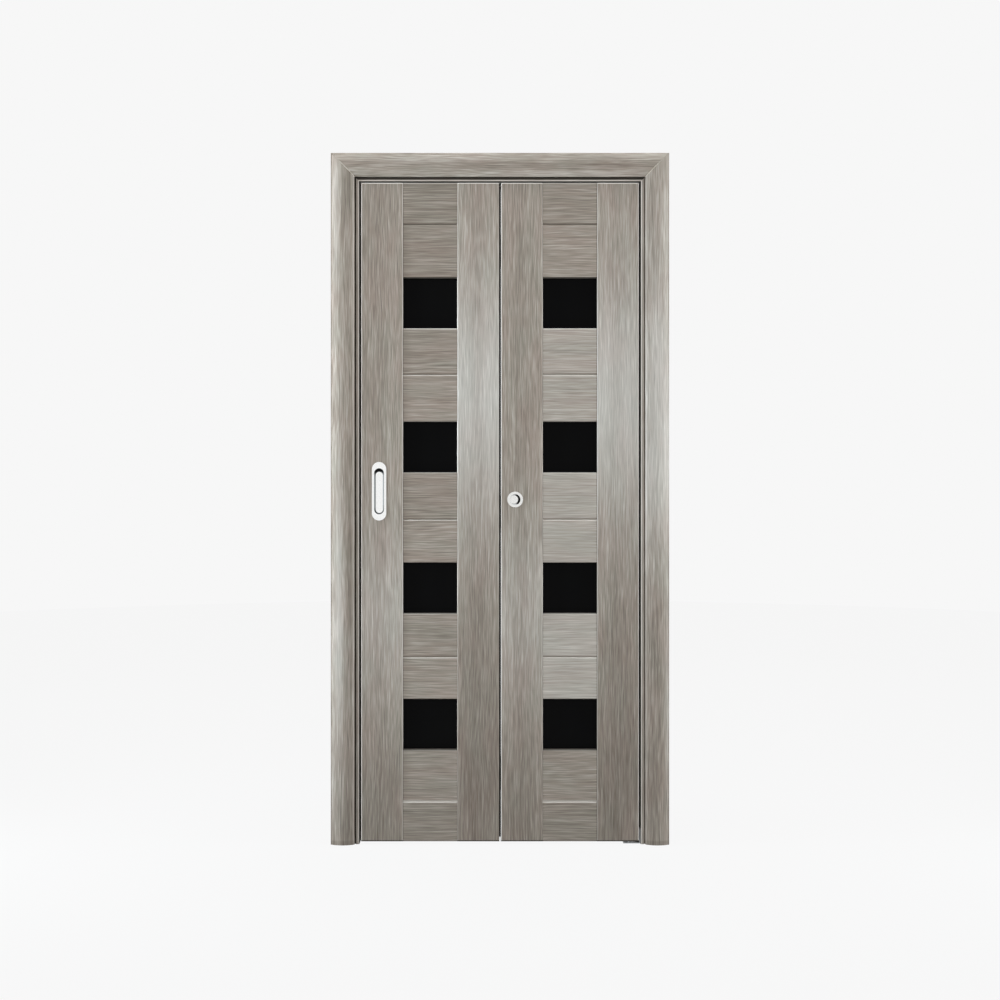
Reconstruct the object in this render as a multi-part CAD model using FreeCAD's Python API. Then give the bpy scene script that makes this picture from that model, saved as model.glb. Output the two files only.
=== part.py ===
import FreeCAD, Part
import math
import os

# A two-leaf folding door in its frame, closed.
# X runs along the wall, Y through it and Z up. The viewer stands at -Y and pulls the fold towards them.
# The origin is on the outer face of the pivot jamb, at floor level and at half the frame's depth, so the
# door lies at -X. The pivot jamb is on the viewer's right and the lead jamb on the left.
# All sizes are in millimetres.

Vector = FreeCAD.Vector

# Leaves
leaf_height = 2000.0
leaf_width = 420.0
leaf_thickness = 36.0
leaf_setback = 1.0
undercut = 8.0
head_gap = 3.0
side_gap = 5.0
fold_gap = 4.0

# Stiles and rails
stile_width = 128.0
stile_outer_radius = 3.5
stile_inner_radius = 4.0
leaf_end_radius = 2.0
rail_setback = 1.0
rail_edge_radius = 4.0
end_rail_edge_radius = 6.0
groove_width = 4.6
groove_depth = 12.0
tongue_thickness = 4.0
tongue_length = 11.0
rail_tongue_height = 7.0
rail_groove_depth = 8.0

# Rows of the leaf from the bottom up. Every pane is as high, and the rails share the rest of the leaf's
# height in these proportions, which are their heights in millimetres on a 2000 mm leaf.
glass_height = 153.0
leaf_pattern = [
    ("rail", 122.0),
    ("rail", 157.0),
    ("glass", None),
    ("rail", 127.0),
    ("rail", 134.0),
    ("glass", None),
    ("rail", 131.0),
    ("rail", 144.0),
    ("glass", None),
    ("rail", 143.0),
    ("rail", 141.0),
    ("glass", None),
    ("rail", 162.0),
    ("rail", 127.0),
]
glass_thickness = 4.0
glass_side_bite = 10.0
glass_end_bite = 7.0

# Frame
frame_depth = 80.0
jamb_thickness = 28.0
jamb_edge_radius = 1.5
stop_projection = 12.0
stop_depth = 20.0
stop_edge_radius = 1.5
stop_clearance = 9.0

# Architraves
architrave_width = 72.0
architrave_crown = 14.0
architrave_edge = 4.0
architrave_edge_radius = 1.0
architrave_reveal = 14.0
architrave_tongue_inset = 4.0
architrave_tongue_width = 5.6
architrave_tongue_length = 14.0
architrave_groove_clearance = 0.2
architrave_groove_spare = 1.0
shadow_groove_width = 4.5
shadow_groove_depth = 4.0

# Seals
brush_width = 3.0
brush_inset = 2.6
brush_socket_depth = 2.0
seal_clearance = 0.3
fin_thickness = 2.4
fin_socket_depth = 6.0
fin_end_margin = 10.0

# Top track and the leaves' pivots
track_width = 22.0
track_height = 15.0
track_wall = 1.6
track_slot = 9.0
track_fit = 0.1
pivot_offset = 30.0
bush_radius = 7.0
bush_length = 40.0
bush_fit = 0.1
pin_radius = 3.5
pin_fit = 0.2
wheel_radius = 9.0
wheel_height = 7.0
wheel_clearance = 3.0
wheel_shoulder = 0.8
pivot_block_length = 34.0
pivot_block_height = 9.0
bracket_thickness = 2.5
bracket_width = 22.0
bracket_reach = 52.0
bracket_upstand = 45.0
bracket_hole_radius = 2.25
bracket_hole_inset = 6.0
bracket_hole_pitch = 34.0

# Fold hinges
hinge_height = 100.0
hinge_flap_width = 30.0
hinge_flap_thickness = 2.0
knuckle_radius = 5.0
knuckle_count = 3
knuckle_gap = 0.4
hinge_end_distance = 200.0

# Pulls
lead_pull_width = 44.0
lead_pull_height = 178.0
lead_pull_centre_z = 1071.0
lead_pull_edge_distance = 55.0
lead_mouth_width = 30.0
lead_mouth_height = 140.0
lead_floor_width = 22.0
lead_floor_height = 125.0
lead_floor_drop = 3.5
fold_pull_diameter = 48.0
fold_pull_centre_z = 1046.0
fold_pull_edge_distance = 44.0
fold_mouth_diameter = 32.4
fold_floor_diameter = 25.0
fold_floor_shift = 3.6
pull_rim = 1.6
pull_rim_bevel = 0.7
pull_floor_depth = 7.0
pull_shell = 1.0
pull_fit = 0.3

# Places that follow from the sizes
clear_width = 2 * leaf_width + fold_gap + 2 * side_gap
frame_width = clear_width + 2 * jamb_thickness
centre_x = -frame_width / 2
pivot_face_x = -jamb_thickness
lead_face_x = pivot_face_x - clear_width
leaf_bottom_z = undercut
leaf_top_z = leaf_bottom_z + leaf_height
head_z = leaf_top_z + head_gap
frame_top_z = head_z + jamb_thickness
frame_front_y = -frame_depth / 2
leaf_front_y = frame_front_y + leaf_setback
leaf_middle_y = leaf_front_y + leaf_thickness / 2
leaf_back_y = leaf_front_y + leaf_thickness
stop_front_y = leaf_back_y + stop_clearance
right_leaf_x = pivot_face_x - side_gap - leaf_width
left_leaf_x = right_leaf_x - fold_gap - leaf_width
rail_length = leaf_width - 2 * stile_width
rail_thickness = leaf_thickness - 2 * rail_setback
pivot_x = right_leaf_x + leaf_width - pivot_offset
roller_x = left_leaf_x + pivot_offset
fold_x = right_leaf_x - fold_gap / 2


# Profiles


def in_plan(a, b):
    """A profile's point for a piece that runs up: a along X and b along Y."""
    return Vector(a, b, 0)


def in_end(a, b):
    """A profile's point for a piece that runs along X: a along Y and b along Z."""
    return Vector(0, a, b)


def outline(corners, place):
    """A closed wire through corners (a, b, radius), each rounded by an arc of its radius."""
    points = [place(a, b) for a, b, _ in corners]
    starts, ends, arcs = [], [], []
    count = len(corners)
    for i in range(count):
        point, radius = points[i], corners[i][2]
        back = (points[i - 1] - point).normalize()
        ahead = (points[(i + 1) % count] - point).normalize()
        half = back.getAngle(ahead) / 2
        cut = radius / math.tan(half)
        middle = (back + ahead).normalize()
        starts.append(point + back * cut)
        ends.append(point + ahead * cut)
        arcs.append(point + middle * (radius / math.sin(half) - radius))
    edges = []
    for i in range(count):
        if corners[i][2] > 0:
            edges.append(Part.Arc(starts[i], arcs[i], ends[i]).toShape())
        gap = starts[(i + 1) % count] - ends[i]
        if gap.Length > 1e-6:
            edges.append(Part.LineSegment(ends[i], starts[(i + 1) % count]).toShape())
    return Part.Wire(edges)


def rectangle(low, high, radii, place):
    """A rectangle's wire from its low to its high corner. Radii go round from the low corner."""
    corners = [
        (low[0], low[1], radii[0]),
        (high[0], low[1], radii[1]),
        (high[0], high[1], radii[2]),
        (low[0], high[1], radii[3]),
    ]
    return outline(corners, place)


def upright(wire, bottom, top):
    """The solid that a plan profile makes between two heights."""
    solid = Part.Face(wire).extrude(Vector(0, 0, top - bottom))
    solid.translate(Vector(0, 0, bottom))
    return solid


def crosswise(wire, left, right):
    """The solid that an end profile makes between two places along X."""
    solid = Part.Face(wire).extrude(Vector(right - left, 0, 0))
    solid.translate(Vector(left, 0, 0))
    return solid


def block(x, y, z):
    """A plain box from three (low, high) pairs."""
    size = [high - low for low, high in (x, y, z)]
    return Part.makeBox(size[0], size[1], size[2], Vector(x[0], y[0], z[0]))


def mirrored_side(shape):
    """The same piece on the other side of the door's middle."""
    return shape.mirror(Vector(centre_x, 0, 0), Vector(1, 0, 0))


def mirrored_face(shape):
    """The same piece on the other face of the wall."""
    return shape.mirror(Vector(0, 0, 0), Vector(0, 1, 0))


def above_mitre(corner_x, corner_z):
    """All that lies above a 45 degree cut, which rises to +X from a corner at the right of the opening."""
    reach = 2 * (architrave_width + jamb_thickness)
    width = frame_width + reach
    corners = [
        Vector(corner_x - reach, 0, corner_z - reach),
        Vector(corner_x + reach, 0, corner_z + reach),
        Vector(corner_x - width, 0, corner_z + reach),
        Vector(corner_x - width, 0, corner_z - reach),
    ]
    wedge = Part.Face(Part.makePolygon(corners + corners[:1]))
    wedge.translate(Vector(0, -frame_depth, 0))
    return wedge.extrude(Vector(0, 2 * frame_depth, 0))


# Frame


def side_jamb():
    """The pivot jamb: a board with a groove in each edge for an architrave's tongue, mitred at its head.
    A shadow groove runs beside each architrave's inner edge."""
    groove_start = architrave_reveal + architrave_tongue_inset - architrave_groove_clearance
    groove_end = groove_start + architrave_tongue_width + 2 * architrave_groove_clearance
    depth = architrave_tongue_length + architrave_groove_spare
    radii = [jamb_edge_radius, 0, 0, jamb_edge_radius]
    low = (pivot_face_x, frame_front_y)
    high = (0, -frame_front_y)
    jamb = upright(rectangle(low, high, radii, in_plan), 0, frame_top_z)
    for edge_y, inward in ((frame_front_y, 1), (-frame_front_y, -1)):
        across = sorted((edge_y, edge_y + inward * depth))
        along = (pivot_face_x + groove_start, pivot_face_x + groove_end)
        jamb = jamb.cut(block(along, across, (0, frame_top_z)))
        shallow = sorted((edge_y, edge_y + inward * shadow_groove_depth))
        beside = (pivot_face_x + architrave_reveal - shadow_groove_width, pivot_face_x + architrave_reveal)
        jamb = jamb.cut(block(beside, shallow, (0, frame_top_z)))
    return jamb.cut(above_mitre(pivot_face_x, head_z))


def head_jamb():
    """The head board between the mitres, with the architraves' grooves and the track's groove."""
    groove_start = architrave_reveal + architrave_tongue_inset - architrave_groove_clearance
    groove_end = groove_start + architrave_tongue_width + 2 * architrave_groove_clearance
    depth = architrave_tongue_length + architrave_groove_spare
    radii = [jamb_edge_radius, jamb_edge_radius, 0, 0]
    low = (frame_front_y, head_z)
    high = (-frame_front_y, frame_top_z)
    head = crosswise(rectangle(low, high, radii, in_end), -frame_width, 0)
    for edge_y, inward in ((frame_front_y, 1), (-frame_front_y, -1)):
        across = sorted((edge_y, edge_y + inward * depth))
        up = (head_z + groove_start, head_z + groove_end)
        head = head.cut(block((-frame_width, 0), across, up))
        shallow = sorted((edge_y, edge_y + inward * shadow_groove_depth))
        under = (head_z + architrave_reveal - shadow_groove_width, head_z + architrave_reveal)
        head = head.cut(block((-frame_width, 0), shallow, under))
    half = track_width / 2 + track_fit
    channel = block(
        (lead_face_x, pivot_face_x),
        (leaf_middle_y - half, leaf_middle_y + half),
        (head_z, head_z + track_height + track_fit),
    )
    head = head.cut(channel)
    keep = above_mitre(pivot_face_x, head_z)
    return head.common(keep).common(mirrored_side(keep))


def stop_section(place, wall, sign, socket):
    """A stop bead's profile: wall is the face that it is fixed to and sign the way that it stands out.
    The socket in its front edge holds the brush."""
    edge = wall + sign * stop_projection
    near = edge - sign * brush_inset
    far = near - sign * brush_width
    back_y = stop_front_y + stop_depth
    points = [
        (wall, stop_front_y, 0),
        (far, stop_front_y, 0),
        (far, stop_front_y + socket, 0),
        (near, stop_front_y + socket, 0),
        (near, stop_front_y, 0),
        (edge, stop_front_y, stop_edge_radius),
        (edge, back_y, stop_edge_radius),
        (wall, back_y, 0),
    ]
    return outline(points, place)


def side_stop():
    """The stop bead on the pivot jamb, under the head's bead."""
    wire = stop_section(in_plan, pivot_face_x, -1, brush_socket_depth)
    return upright(wire, 0, head_z - stop_projection)


def head_stop():
    """The stop bead under the head, from jamb to jamb."""
    wire = stop_section(lambda a, b: in_end(b, a), head_z, -1, brush_socket_depth)
    return crosswise(wire, lead_face_x, pivot_face_x)


def brush_seals():
    """Brush strips in the stops' sockets, which reach to the backs of the leaves."""
    front = leaf_back_y + seal_clearance
    back = stop_front_y + brush_socket_depth
    near = stop_projection - brush_inset - brush_width
    side = block(
        (pivot_face_x - near - brush_width, pivot_face_x - near),
        (front, back),
        (0, head_z - stop_projection),
    )
    head = block(
        (lead_face_x + near, pivot_face_x - near),
        (front, back),
        (head_z - near - brush_width, head_z - near),
    )
    return [side, mirrored_side(side), head]


# Architraves


def architrave_bar(length):
    """A straight length of the crowned moulding, run along X from 0.
    Its back lies on the wall at Y 0, its inner edge is at Z 0 and its tongue points to +Y."""
    inner_low = in_end(0, 0)
    inner_high = in_end(-architrave_edge, 0)
    crown = in_end(-architrave_crown, architrave_width / 2)
    outer_high = in_end(-architrave_edge, architrave_width)
    outer_low = in_end(0, architrave_width)
    edges = [
        Part.LineSegment(inner_low, inner_high).toShape(),
        Part.Arc(inner_high, crown, outer_high).toShape(),
        Part.LineSegment(outer_high, outer_low).toShape(),
        Part.LineSegment(outer_low, inner_low).toShape(),
    ]
    bar = crosswise(Part.Wire(edges), 0, length)
    shoulders = []
    for edge in bar.Edges:
        box = edge.BoundBox
        runs_along = box.XLength > length - 1
        on_shoulder = abs(box.YMax + architrave_edge) < 0.1
        if runs_along and on_shoulder:
            shoulders.append(edge)
    bar = bar.makeFillet(architrave_edge_radius, shoulders)
    tongue = block(
        (0, length),
        (0, architrave_tongue_length),
        (architrave_tongue_inset, architrave_tongue_inset + architrave_tongue_width),
    )
    return bar.fuse(tongue).removeSplitter()


def architrave_head():
    """The front architrave over the door, mitred at both ends."""
    reach = architrave_width
    bar = architrave_bar(frame_width + 2 * reach)
    bar.translate(Vector(-frame_width - reach, frame_front_y, head_z + architrave_reveal))
    keep = above_mitre(pivot_face_x, head_z)
    return bar.common(keep).common(mirrored_side(keep))


def architrave_side():
    """The front architrave on the pivot side, from the floor to its mitre."""
    top = head_z + architrave_reveal + architrave_width
    bar = architrave_bar(top)
    bar.rotate(Vector(0, 0, 0), Vector(0, 1, 0), 90)
    bar.translate(Vector(pivot_face_x + architrave_reveal, frame_front_y, top))
    return bar.cut(above_mitre(pivot_face_x, head_z))


# Leaves


def leaf_rows():
    """The leaf's rows as (kind, bottom, top) from the floor up."""
    pane_count = sum(1 for kind, _ in leaf_pattern if kind == "glass")
    rail_total = sum(share for kind, share in leaf_pattern if kind == "rail")
    rail_scale = (leaf_height - pane_count * glass_height) / rail_total
    rows = []
    z = leaf_bottom_z
    for kind, share in leaf_pattern:
        height = glass_height if kind == "glass" else share * rail_scale
        rows.append((kind, z, z + height))
        z += height
    return rows


def rounded_ends(shape, left, right):
    """The shape with the leaf's top and bottom edges rounded."""
    low = (leaf_front_y, leaf_bottom_z)
    high = (leaf_back_y, leaf_top_z)
    wire = rectangle(low, high, [leaf_end_radius] * 4, in_end)
    return shape.common(crosswise(wire, left, right))


def stile(inner_is_right):
    """A stile with its outer edge at X 0, which runs to +X or to -X, grooved along its inner edge."""
    sign = 1 if inner_is_right else -1
    inner = sign * stile_width
    bottom = sign * (stile_width - groove_depth)
    front_lip = leaf_middle_y - groove_width / 2
    back_lip = leaf_middle_y + groove_width / 2
    points = [
        (0, leaf_front_y, stile_outer_radius),
        (inner, leaf_front_y, stile_inner_radius),
        (inner, front_lip, 0),
        (bottom, front_lip, 0),
        (bottom, back_lip, 0),
        (inner, back_lip, 0),
        (inner, leaf_back_y, stile_inner_radius),
        (0, leaf_back_y, stile_outer_radius),
    ]
    solid = upright(outline(points, in_plan), leaf_bottom_z, leaf_top_z)
    return rounded_ends(solid, -stile_width, stile_width)


def rail(index, rows):
    """The rail in one row, from the left stile's inner edge at X 0.
    Its ends have tongues, and its long edges a groove for the glass or the next rail, or a tongue."""
    _, bottom, top = rows[index]
    last = len(rows) - 1
    below = rows[index - 1][0] if index > 0 else None
    above = rows[index + 1][0] if index < last else None
    lower_radius = end_rail_edge_radius if index == last else rail_edge_radius
    upper_radius = end_rail_edge_radius if index == 0 else rail_edge_radius
    if below is None:
        lower_radius = leaf_end_radius
    if above is None:
        upper_radius = leaf_end_radius
    low = (leaf_front_y + rail_setback, bottom)
    high = (leaf_back_y - rail_setback, top)
    radii = [lower_radius, lower_radius, upper_radius, upper_radius]
    solid = crosswise(rectangle(low, high, radii, in_end), 0, rail_length)
    groove = (leaf_middle_y - groove_width / 2, leaf_middle_y + groove_width / 2)
    tongue = (leaf_middle_y - tongue_thickness / 2, leaf_middle_y + tongue_thickness / 2)
    whole = (-tongue_length, rail_length + tongue_length)
    cut_bottom = bottom if below is None else bottom + rail_groove_depth
    cut_top = top if above is None else top - rail_groove_depth
    ends = block(whole, tongue, (cut_bottom, cut_top))
    solid = solid.fuse(ends)
    if below is not None:
        solid = solid.cut(block(whole, groove, (bottom, bottom + rail_groove_depth)))
    if above == "glass":
        solid = solid.cut(block(whole, groove, (top - rail_groove_depth, top)))
    if above == "rail":
        ridge = block((0, rail_length), tongue, (top - rail_groove_depth, top + rail_tongue_height))
        solid = solid.cut(block(whole, groove, (top - rail_groove_depth, top)))
        solid = solid.fuse(ridge)
        cheeks = block((0, rail_length), groove, (top - rail_groove_depth, top))
        solid = solid.fuse(cheeks)
    return solid.removeSplitter()


def glass_panes(rows):
    """The four panes, with their edges in the grooves of the stiles and rails."""
    panes = []
    for kind, bottom, top in rows:
        if kind == "glass":
            pane = block(
                (-glass_side_bite, rail_length + glass_side_bite),
                (leaf_middle_y - glass_thickness / 2, leaf_middle_y + glass_thickness / 2),
                (bottom - glass_end_bite, top + glass_end_bite),
            )
            panes.append(pane)
    return panes


# Pulls, modelled with their front at +Z and placed on a leaf's face afterwards


def stadium(width, height, centre, level):
    """A wire with straight sides and round ends, or a circle where width and height are equal."""
    radius = width / 2
    straight = height / 2 - radius
    x, y = centre
    if straight < 1e-6:
        return Part.Wire(Part.makeCircle(radius, Vector(x, y, level)))
    right_low = Vector(x + radius, y - straight, level)
    right_high = Vector(x + radius, y + straight, level)
    left_high = Vector(x - radius, y + straight, level)
    left_low = Vector(x - radius, y - straight, level)
    top = Vector(x, y + straight + radius, level)
    bottom = Vector(x, y - straight - radius, level)
    edges = [
        Part.LineSegment(right_low, right_high).toShape(),
        Part.Arc(right_high, top, left_high).toShape(),
        Part.LineSegment(left_high, left_low).toShape(),
        Part.Arc(left_low, bottom, right_low).toShape(),
    ]
    return Part.Wire(edges)


def plug(width, height, centre, low, high):
    """The solid that a stadium makes between two levels."""
    return Part.Face(stadium(width, height, centre, low)).extrude(Vector(0, 0, high - low))


def dish(mouth, floor, top, bottom):
    """A solid that narrows from the mouth to the floor. Mouth and floor are (width, height, centre)."""
    upper = stadium(mouth[0], mouth[1], mouth[2], top)
    lower = stadium(floor[0], floor[1], floor[2], bottom)
    return Part.makeLoft([upper, lower], True, True)


def flush_pull(outer, mouth, floor):
    """A die-cast pull: a thin rim on the leaf's face, and a cup in the leaf with a dished finger recess.
    The dish's floor stands off the mouth's middle, so its wall is steep on one side and wide on the other."""
    rim = plug(outer[0], outer[1], (0, 0), 0, pull_rim)
    edges = []
    for edge in rim.Edges:
        box = edge.BoundBox
        if box.ZLength < 1e-6 and abs(box.ZMax - pull_rim) < 1e-6:
            edges.append(edge)
    rim = rim.makeChamfer(pull_rim_bevel, edges)
    width, height, centre = mouth
    cup = plug(width + 2 * pull_shell, height + 2 * pull_shell, centre, -pull_floor_depth - pull_shell, 0)
    return rim.fuse(cup).cut(dish(mouth, floor, pull_rim, -pull_floor_depth)).removeSplitter()


def pull_pocket(mouth):
    """The milled pocket in the leaf that the cup goes into."""
    room = 2 * (pull_shell + pull_fit)
    depth = pull_floor_depth + pull_shell + pull_fit
    return plug(mouth[0] + room, mouth[1] + room, (0, 0), -depth, 0)


def on_front(shape, x, z):
    """Puts a pull's shape on the leaves' front face."""
    placed = shape.copy()
    placed.rotate(Vector(0, 0, 0), Vector(1, 0, 0), 90)
    placed.translate(Vector(x, leaf_front_y, z))
    return placed


def on_back(shape, x, z):
    """Puts a pull's shape on the leaves' back face."""
    placed = shape.copy()
    placed.rotate(Vector(0, 0, 0), Vector(1, 0, 0), 90)
    placed.rotate(Vector(0, 0, 0), Vector(0, 0, 1), 180)
    placed.translate(Vector(x, leaf_back_y, z))
    return placed


lead_mouth = (lead_mouth_width, lead_mouth_height, (0, 0))
lead_floor = (lead_floor_width, lead_floor_height, (0, -lead_floor_drop))
fold_mouth = (fold_mouth_diameter, fold_mouth_diameter, (0, 0))
fold_floor = (fold_floor_diameter, fold_floor_diameter, (-fold_floor_shift, 0))
lead_pull_x = left_leaf_x + lead_pull_edge_distance
fold_pull_x = right_leaf_x + fold_pull_edge_distance


# Track, roller and pivots


def top_track():
    """The aluminium channel in the head, open downwards between two lips."""
    half = track_width / 2
    inner = half - track_wall
    lip = track_slot / 2
    top = head_z + track_height
    y = leaf_middle_y
    points = [
        (y - half, head_z, 0),
        (y - lip, head_z, 0),
        (y - lip, head_z + track_wall, 0),
        (y - inner, head_z + track_wall, 0),
        (y - inner, top - track_wall, 0),
        (y + inner, top - track_wall, 0),
        (y + inner, head_z + track_wall, 0),
        (y + lip, head_z + track_wall, 0),
        (y + lip, head_z, 0),
        (y + half, head_z, 0),
        (y + half, top, 0),
        (y - half, top, 0),
    ]
    return crosswise(outline(points, in_end), lead_face_x, pivot_face_x)


def turned(x, steps):
    """A turned piece on a vertical axis at x in the leaf's middle, from (radius, low, high) steps."""
    solid = None
    for radius, low, high in steps:
        step = Part.makeCylinder(radius, high - low, Vector(x, leaf_middle_y, low))
        solid = step if solid is None else solid.fuse(step)
    return solid.removeSplitter()


def lead_roller():
    """The bush in the lead stile's top with its pin, and the wheel that runs in the track."""
    wheel_low = head_z + track_wall + wheel_clearance
    wheel_high = wheel_low + wheel_height
    steps = [
        (bush_radius, leaf_top_z - bush_length, leaf_top_z),
        (pin_radius + wheel_shoulder, leaf_top_z, wheel_low - pin_fit),
        (pin_radius, wheel_low - pin_fit, wheel_high),
    ]
    wheel = turned(roller_x, [(wheel_radius, wheel_low, wheel_high)])
    bore = Part.makeCylinder(
        pin_radius + pin_fit,
        wheel_height,
        Vector(roller_x, leaf_middle_y, wheel_low),
    )
    return [turned(roller_x, steps), wheel.cut(bore)]


def top_pivot():
    """The pin at the pivot stile's top and the block in the track that it turns in."""
    block_low = head_z + track_wall + wheel_clearance / 2
    block_high = block_low + pivot_block_height
    steps = [
        (bush_radius, leaf_top_z - bush_length, leaf_top_z),
        (pin_radius, leaf_top_z, block_high),
    ]
    half = track_width / 2 - track_wall - track_fit
    socket = block(
        (pivot_x - pivot_block_length / 2, pivot_x + pivot_block_length / 2),
        (leaf_middle_y - half, leaf_middle_y + half),
        (block_low, block_high),
    )
    bore = Part.makeCylinder(
        pin_radius + pin_fit,
        pivot_block_height,
        Vector(pivot_x, leaf_middle_y, block_low),
    )
    return [turned(pivot_x, steps), socket.cut(bore)]


def floor_pivot():
    """The pin with its bush at the pivot stile's foot, and the angle bracket that carries it on floor and jamb."""
    steps = [
        (pin_radius, 0, bracket_thickness),
        (bush_radius, bracket_thickness, leaf_bottom_z + bush_length),
    ]
    width = (leaf_middle_y - bracket_width / 2, leaf_middle_y + bracket_width / 2)
    seat = (pivot_face_x - bracket_reach, pivot_face_x)
    foot = block(seat, width, (0, bracket_thickness))
    wall = (pivot_face_x - bracket_thickness, pivot_face_x)
    upstand = block(wall, width, (0, bracket_upstand))
    bore = Part.makeCylinder(
        pin_radius + pin_fit,
        bracket_thickness,
        Vector(pivot_x, leaf_middle_y, 0),
    )
    bracket = foot.fuse(upstand).removeSplitter().cut(bore)
    first_hole = pivot_face_x - bracket_reach + bracket_hole_inset
    for hole_x in (first_hole, first_hole + bracket_hole_pitch):
        centre = Vector(hole_x, leaf_middle_y, 0)
        bracket = bracket.cut(Part.makeCylinder(bracket_hole_radius, bracket_thickness, centre))
    return [turned(pivot_x, steps), bracket]


def bush_hole(x, low, high):
    """The hole in a stile for a pivot's bush."""
    return Part.makeCylinder(bush_radius + bush_fit, high - low, Vector(x, leaf_middle_y, low))


# Fold hinges


def hinge_heights():
    """The middles of the three hinges, from the bottom up."""
    low = leaf_bottom_z + hinge_end_distance
    high = leaf_top_z - hinge_end_distance
    return [low, (low + high) / 2, high]


def fold_hinge(middle_z):
    """One hinge on the backs of the leaves: two flaps with their knuckles, which are solid on the pin's axis."""
    axis_y = leaf_back_y + knuckle_radius
    low = middle_z - hinge_height / 2
    step = hinge_height / knuckle_count
    pieces = []
    for side in (-1, 1):
        reach = fold_x + side * (fold_gap / 2 + hinge_flap_width)
        near = fold_x + side * knuckle_radius
        left, right = sorted((reach, near))
        thickness = (leaf_back_y, leaf_back_y + hinge_flap_thickness)
        flap = block((left, right), thickness, (low, low + hinge_height))
        bridge_ends = sorted((fold_x, near))
        first = 0 if side > 0 else 1
        for index in range(first, knuckle_count, 2):
            start = low + index * step + knuckle_gap / 2
            length = step - knuckle_gap
            knuckle = Part.makeCylinder(knuckle_radius, length, Vector(fold_x, axis_y, start))
            bridge = block(bridge_ends, thickness, (start, start + length))
            flap = flap.fuse(knuckle.fuse(bridge))
        pieces.append(flap.removeSplitter())
    return pieces


# Meeting seal


def meeting_seal():
    """The dark fin in the left leaf's meeting edge, which closes the gap between the leaves."""
    edge = left_leaf_x + leaf_width
    return block(
        (edge - fin_socket_depth, edge + fold_gap - seal_clearance),
        (leaf_middle_y - fin_thickness / 2, leaf_middle_y + fin_thickness / 2),
        (leaf_bottom_z + fin_end_margin, leaf_top_z - fin_end_margin),
    )


def fin_socket():
    """The slot for the fin in the left leaf's meeting edge."""
    edge = left_leaf_x + leaf_width
    return block(
        (edge - fin_socket_depth, edge),
        (leaf_middle_y - fin_thickness / 2, leaf_middle_y + fin_thickness / 2),
        (leaf_bottom_z + fin_end_margin, leaf_top_z - fin_end_margin),
    )


# The whole door, one entry for each named piece


def frame_pieces():
    jamb = side_jamb()
    stop = side_stop()
    front_side = architrave_side()
    front_head = architrave_head()
    return {
        "pivot_jamb": [jamb],
        "lead_jamb": [mirrored_side(jamb)],
        "head_jamb": [head_jamb()],
        "pivot_stop": [stop],
        "lead_stop": [mirrored_side(stop)],
        "head_stop": [head_stop()],
        "frame_brush_seal": brush_seals(),
        "front_architrave_pivot": [front_side],
        "front_architrave_lead": [mirrored_side(front_side)],
        "front_architrave_head": [front_head],
        "rear_architrave_pivot": [mirrored_face(front_side)],
        "rear_architrave_lead": [mirrored_side(mirrored_face(front_side))],
        "rear_architrave_head": [mirrored_face(front_head)],
        "top_track": [top_track()],
    }


def leaf_pieces(name, left_x):
    """A leaf's boards and glass, with its left edge at left_x."""
    rows = leaf_rows()
    left = stile(True)
    right = stile(False)
    left.translate(Vector(left_x, 0, 0))
    right.translate(Vector(left_x + leaf_width, 0, 0))
    pieces = {name + "_left_stile": [left], name + "_right_stile": [right]}
    panes = glass_panes(rows)
    number = 0
    for index in range(len(rows) - 1, -1, -1):
        if rows[index][0] == "rail":
            number += 1
            pieces["%s_rail_%02d" % (name, number)] = [rail(index, rows)]
    pieces[name + "_glass"] = panes
    for key, solids in pieces.items():
        if not key.endswith("_stile"):
            for solid in solids:
                solid.translate(Vector(left_x + stile_width, 0, 0))
    return pieces


def hardware_pieces():
    lead_outer = (lead_pull_width, lead_pull_height)
    fold_outer = (fold_pull_diameter, fold_pull_diameter)
    lead_pull = flush_pull(lead_outer, lead_mouth, lead_floor)
    fold_pull = flush_pull(fold_outer, fold_mouth, fold_floor)
    pulls = [
        on_front(lead_pull, lead_pull_x, lead_pull_centre_z),
        on_back(lead_pull, lead_pull_x, lead_pull_centre_z),
        on_front(fold_pull, fold_pull_x, fold_pull_centre_z),
    ]
    hinges = [piece for middle in hinge_heights() for piece in fold_hinge(middle)]
    return {
        "flush_pulls": pulls,
        "roller_and_pivots": lead_roller() + top_pivot() + floor_pivot(),
        "fold_hinges": hinges,
        "meeting_seal": [meeting_seal()],
    }


def door():
    pieces = frame_pieces()
    pieces.update(leaf_pieces("left_leaf", left_leaf_x))
    pieces.update(leaf_pieces("right_leaf", right_leaf_x))
    pieces.update(hardware_pieces())
    lead_pocket = pull_pocket(lead_mouth)
    fold_pocket = pull_pocket(fold_mouth)
    bush_top = leaf_top_z - bush_length
    bush_bottom = leaf_bottom_z + bush_length
    cuts = {
        "left_leaf_left_stile": [
            on_front(lead_pocket, lead_pull_x, lead_pull_centre_z),
            on_back(lead_pocket, lead_pull_x, lead_pull_centre_z),
            bush_hole(roller_x, bush_top, leaf_top_z),
        ],
        "left_leaf_right_stile": [fin_socket()],
        "right_leaf_left_stile": [on_front(fold_pocket, fold_pull_x, fold_pull_centre_z)],
        "right_leaf_right_stile": [
            bush_hole(pivot_x, bush_top, leaf_top_z),
            bush_hole(pivot_x, leaf_bottom_z, bush_bottom),
        ],
    }
    for name, tools in cuts.items():
        for tool in tools:
            pieces[name][0] = pieces[name][0].cut(tool)
    return pieces


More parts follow.
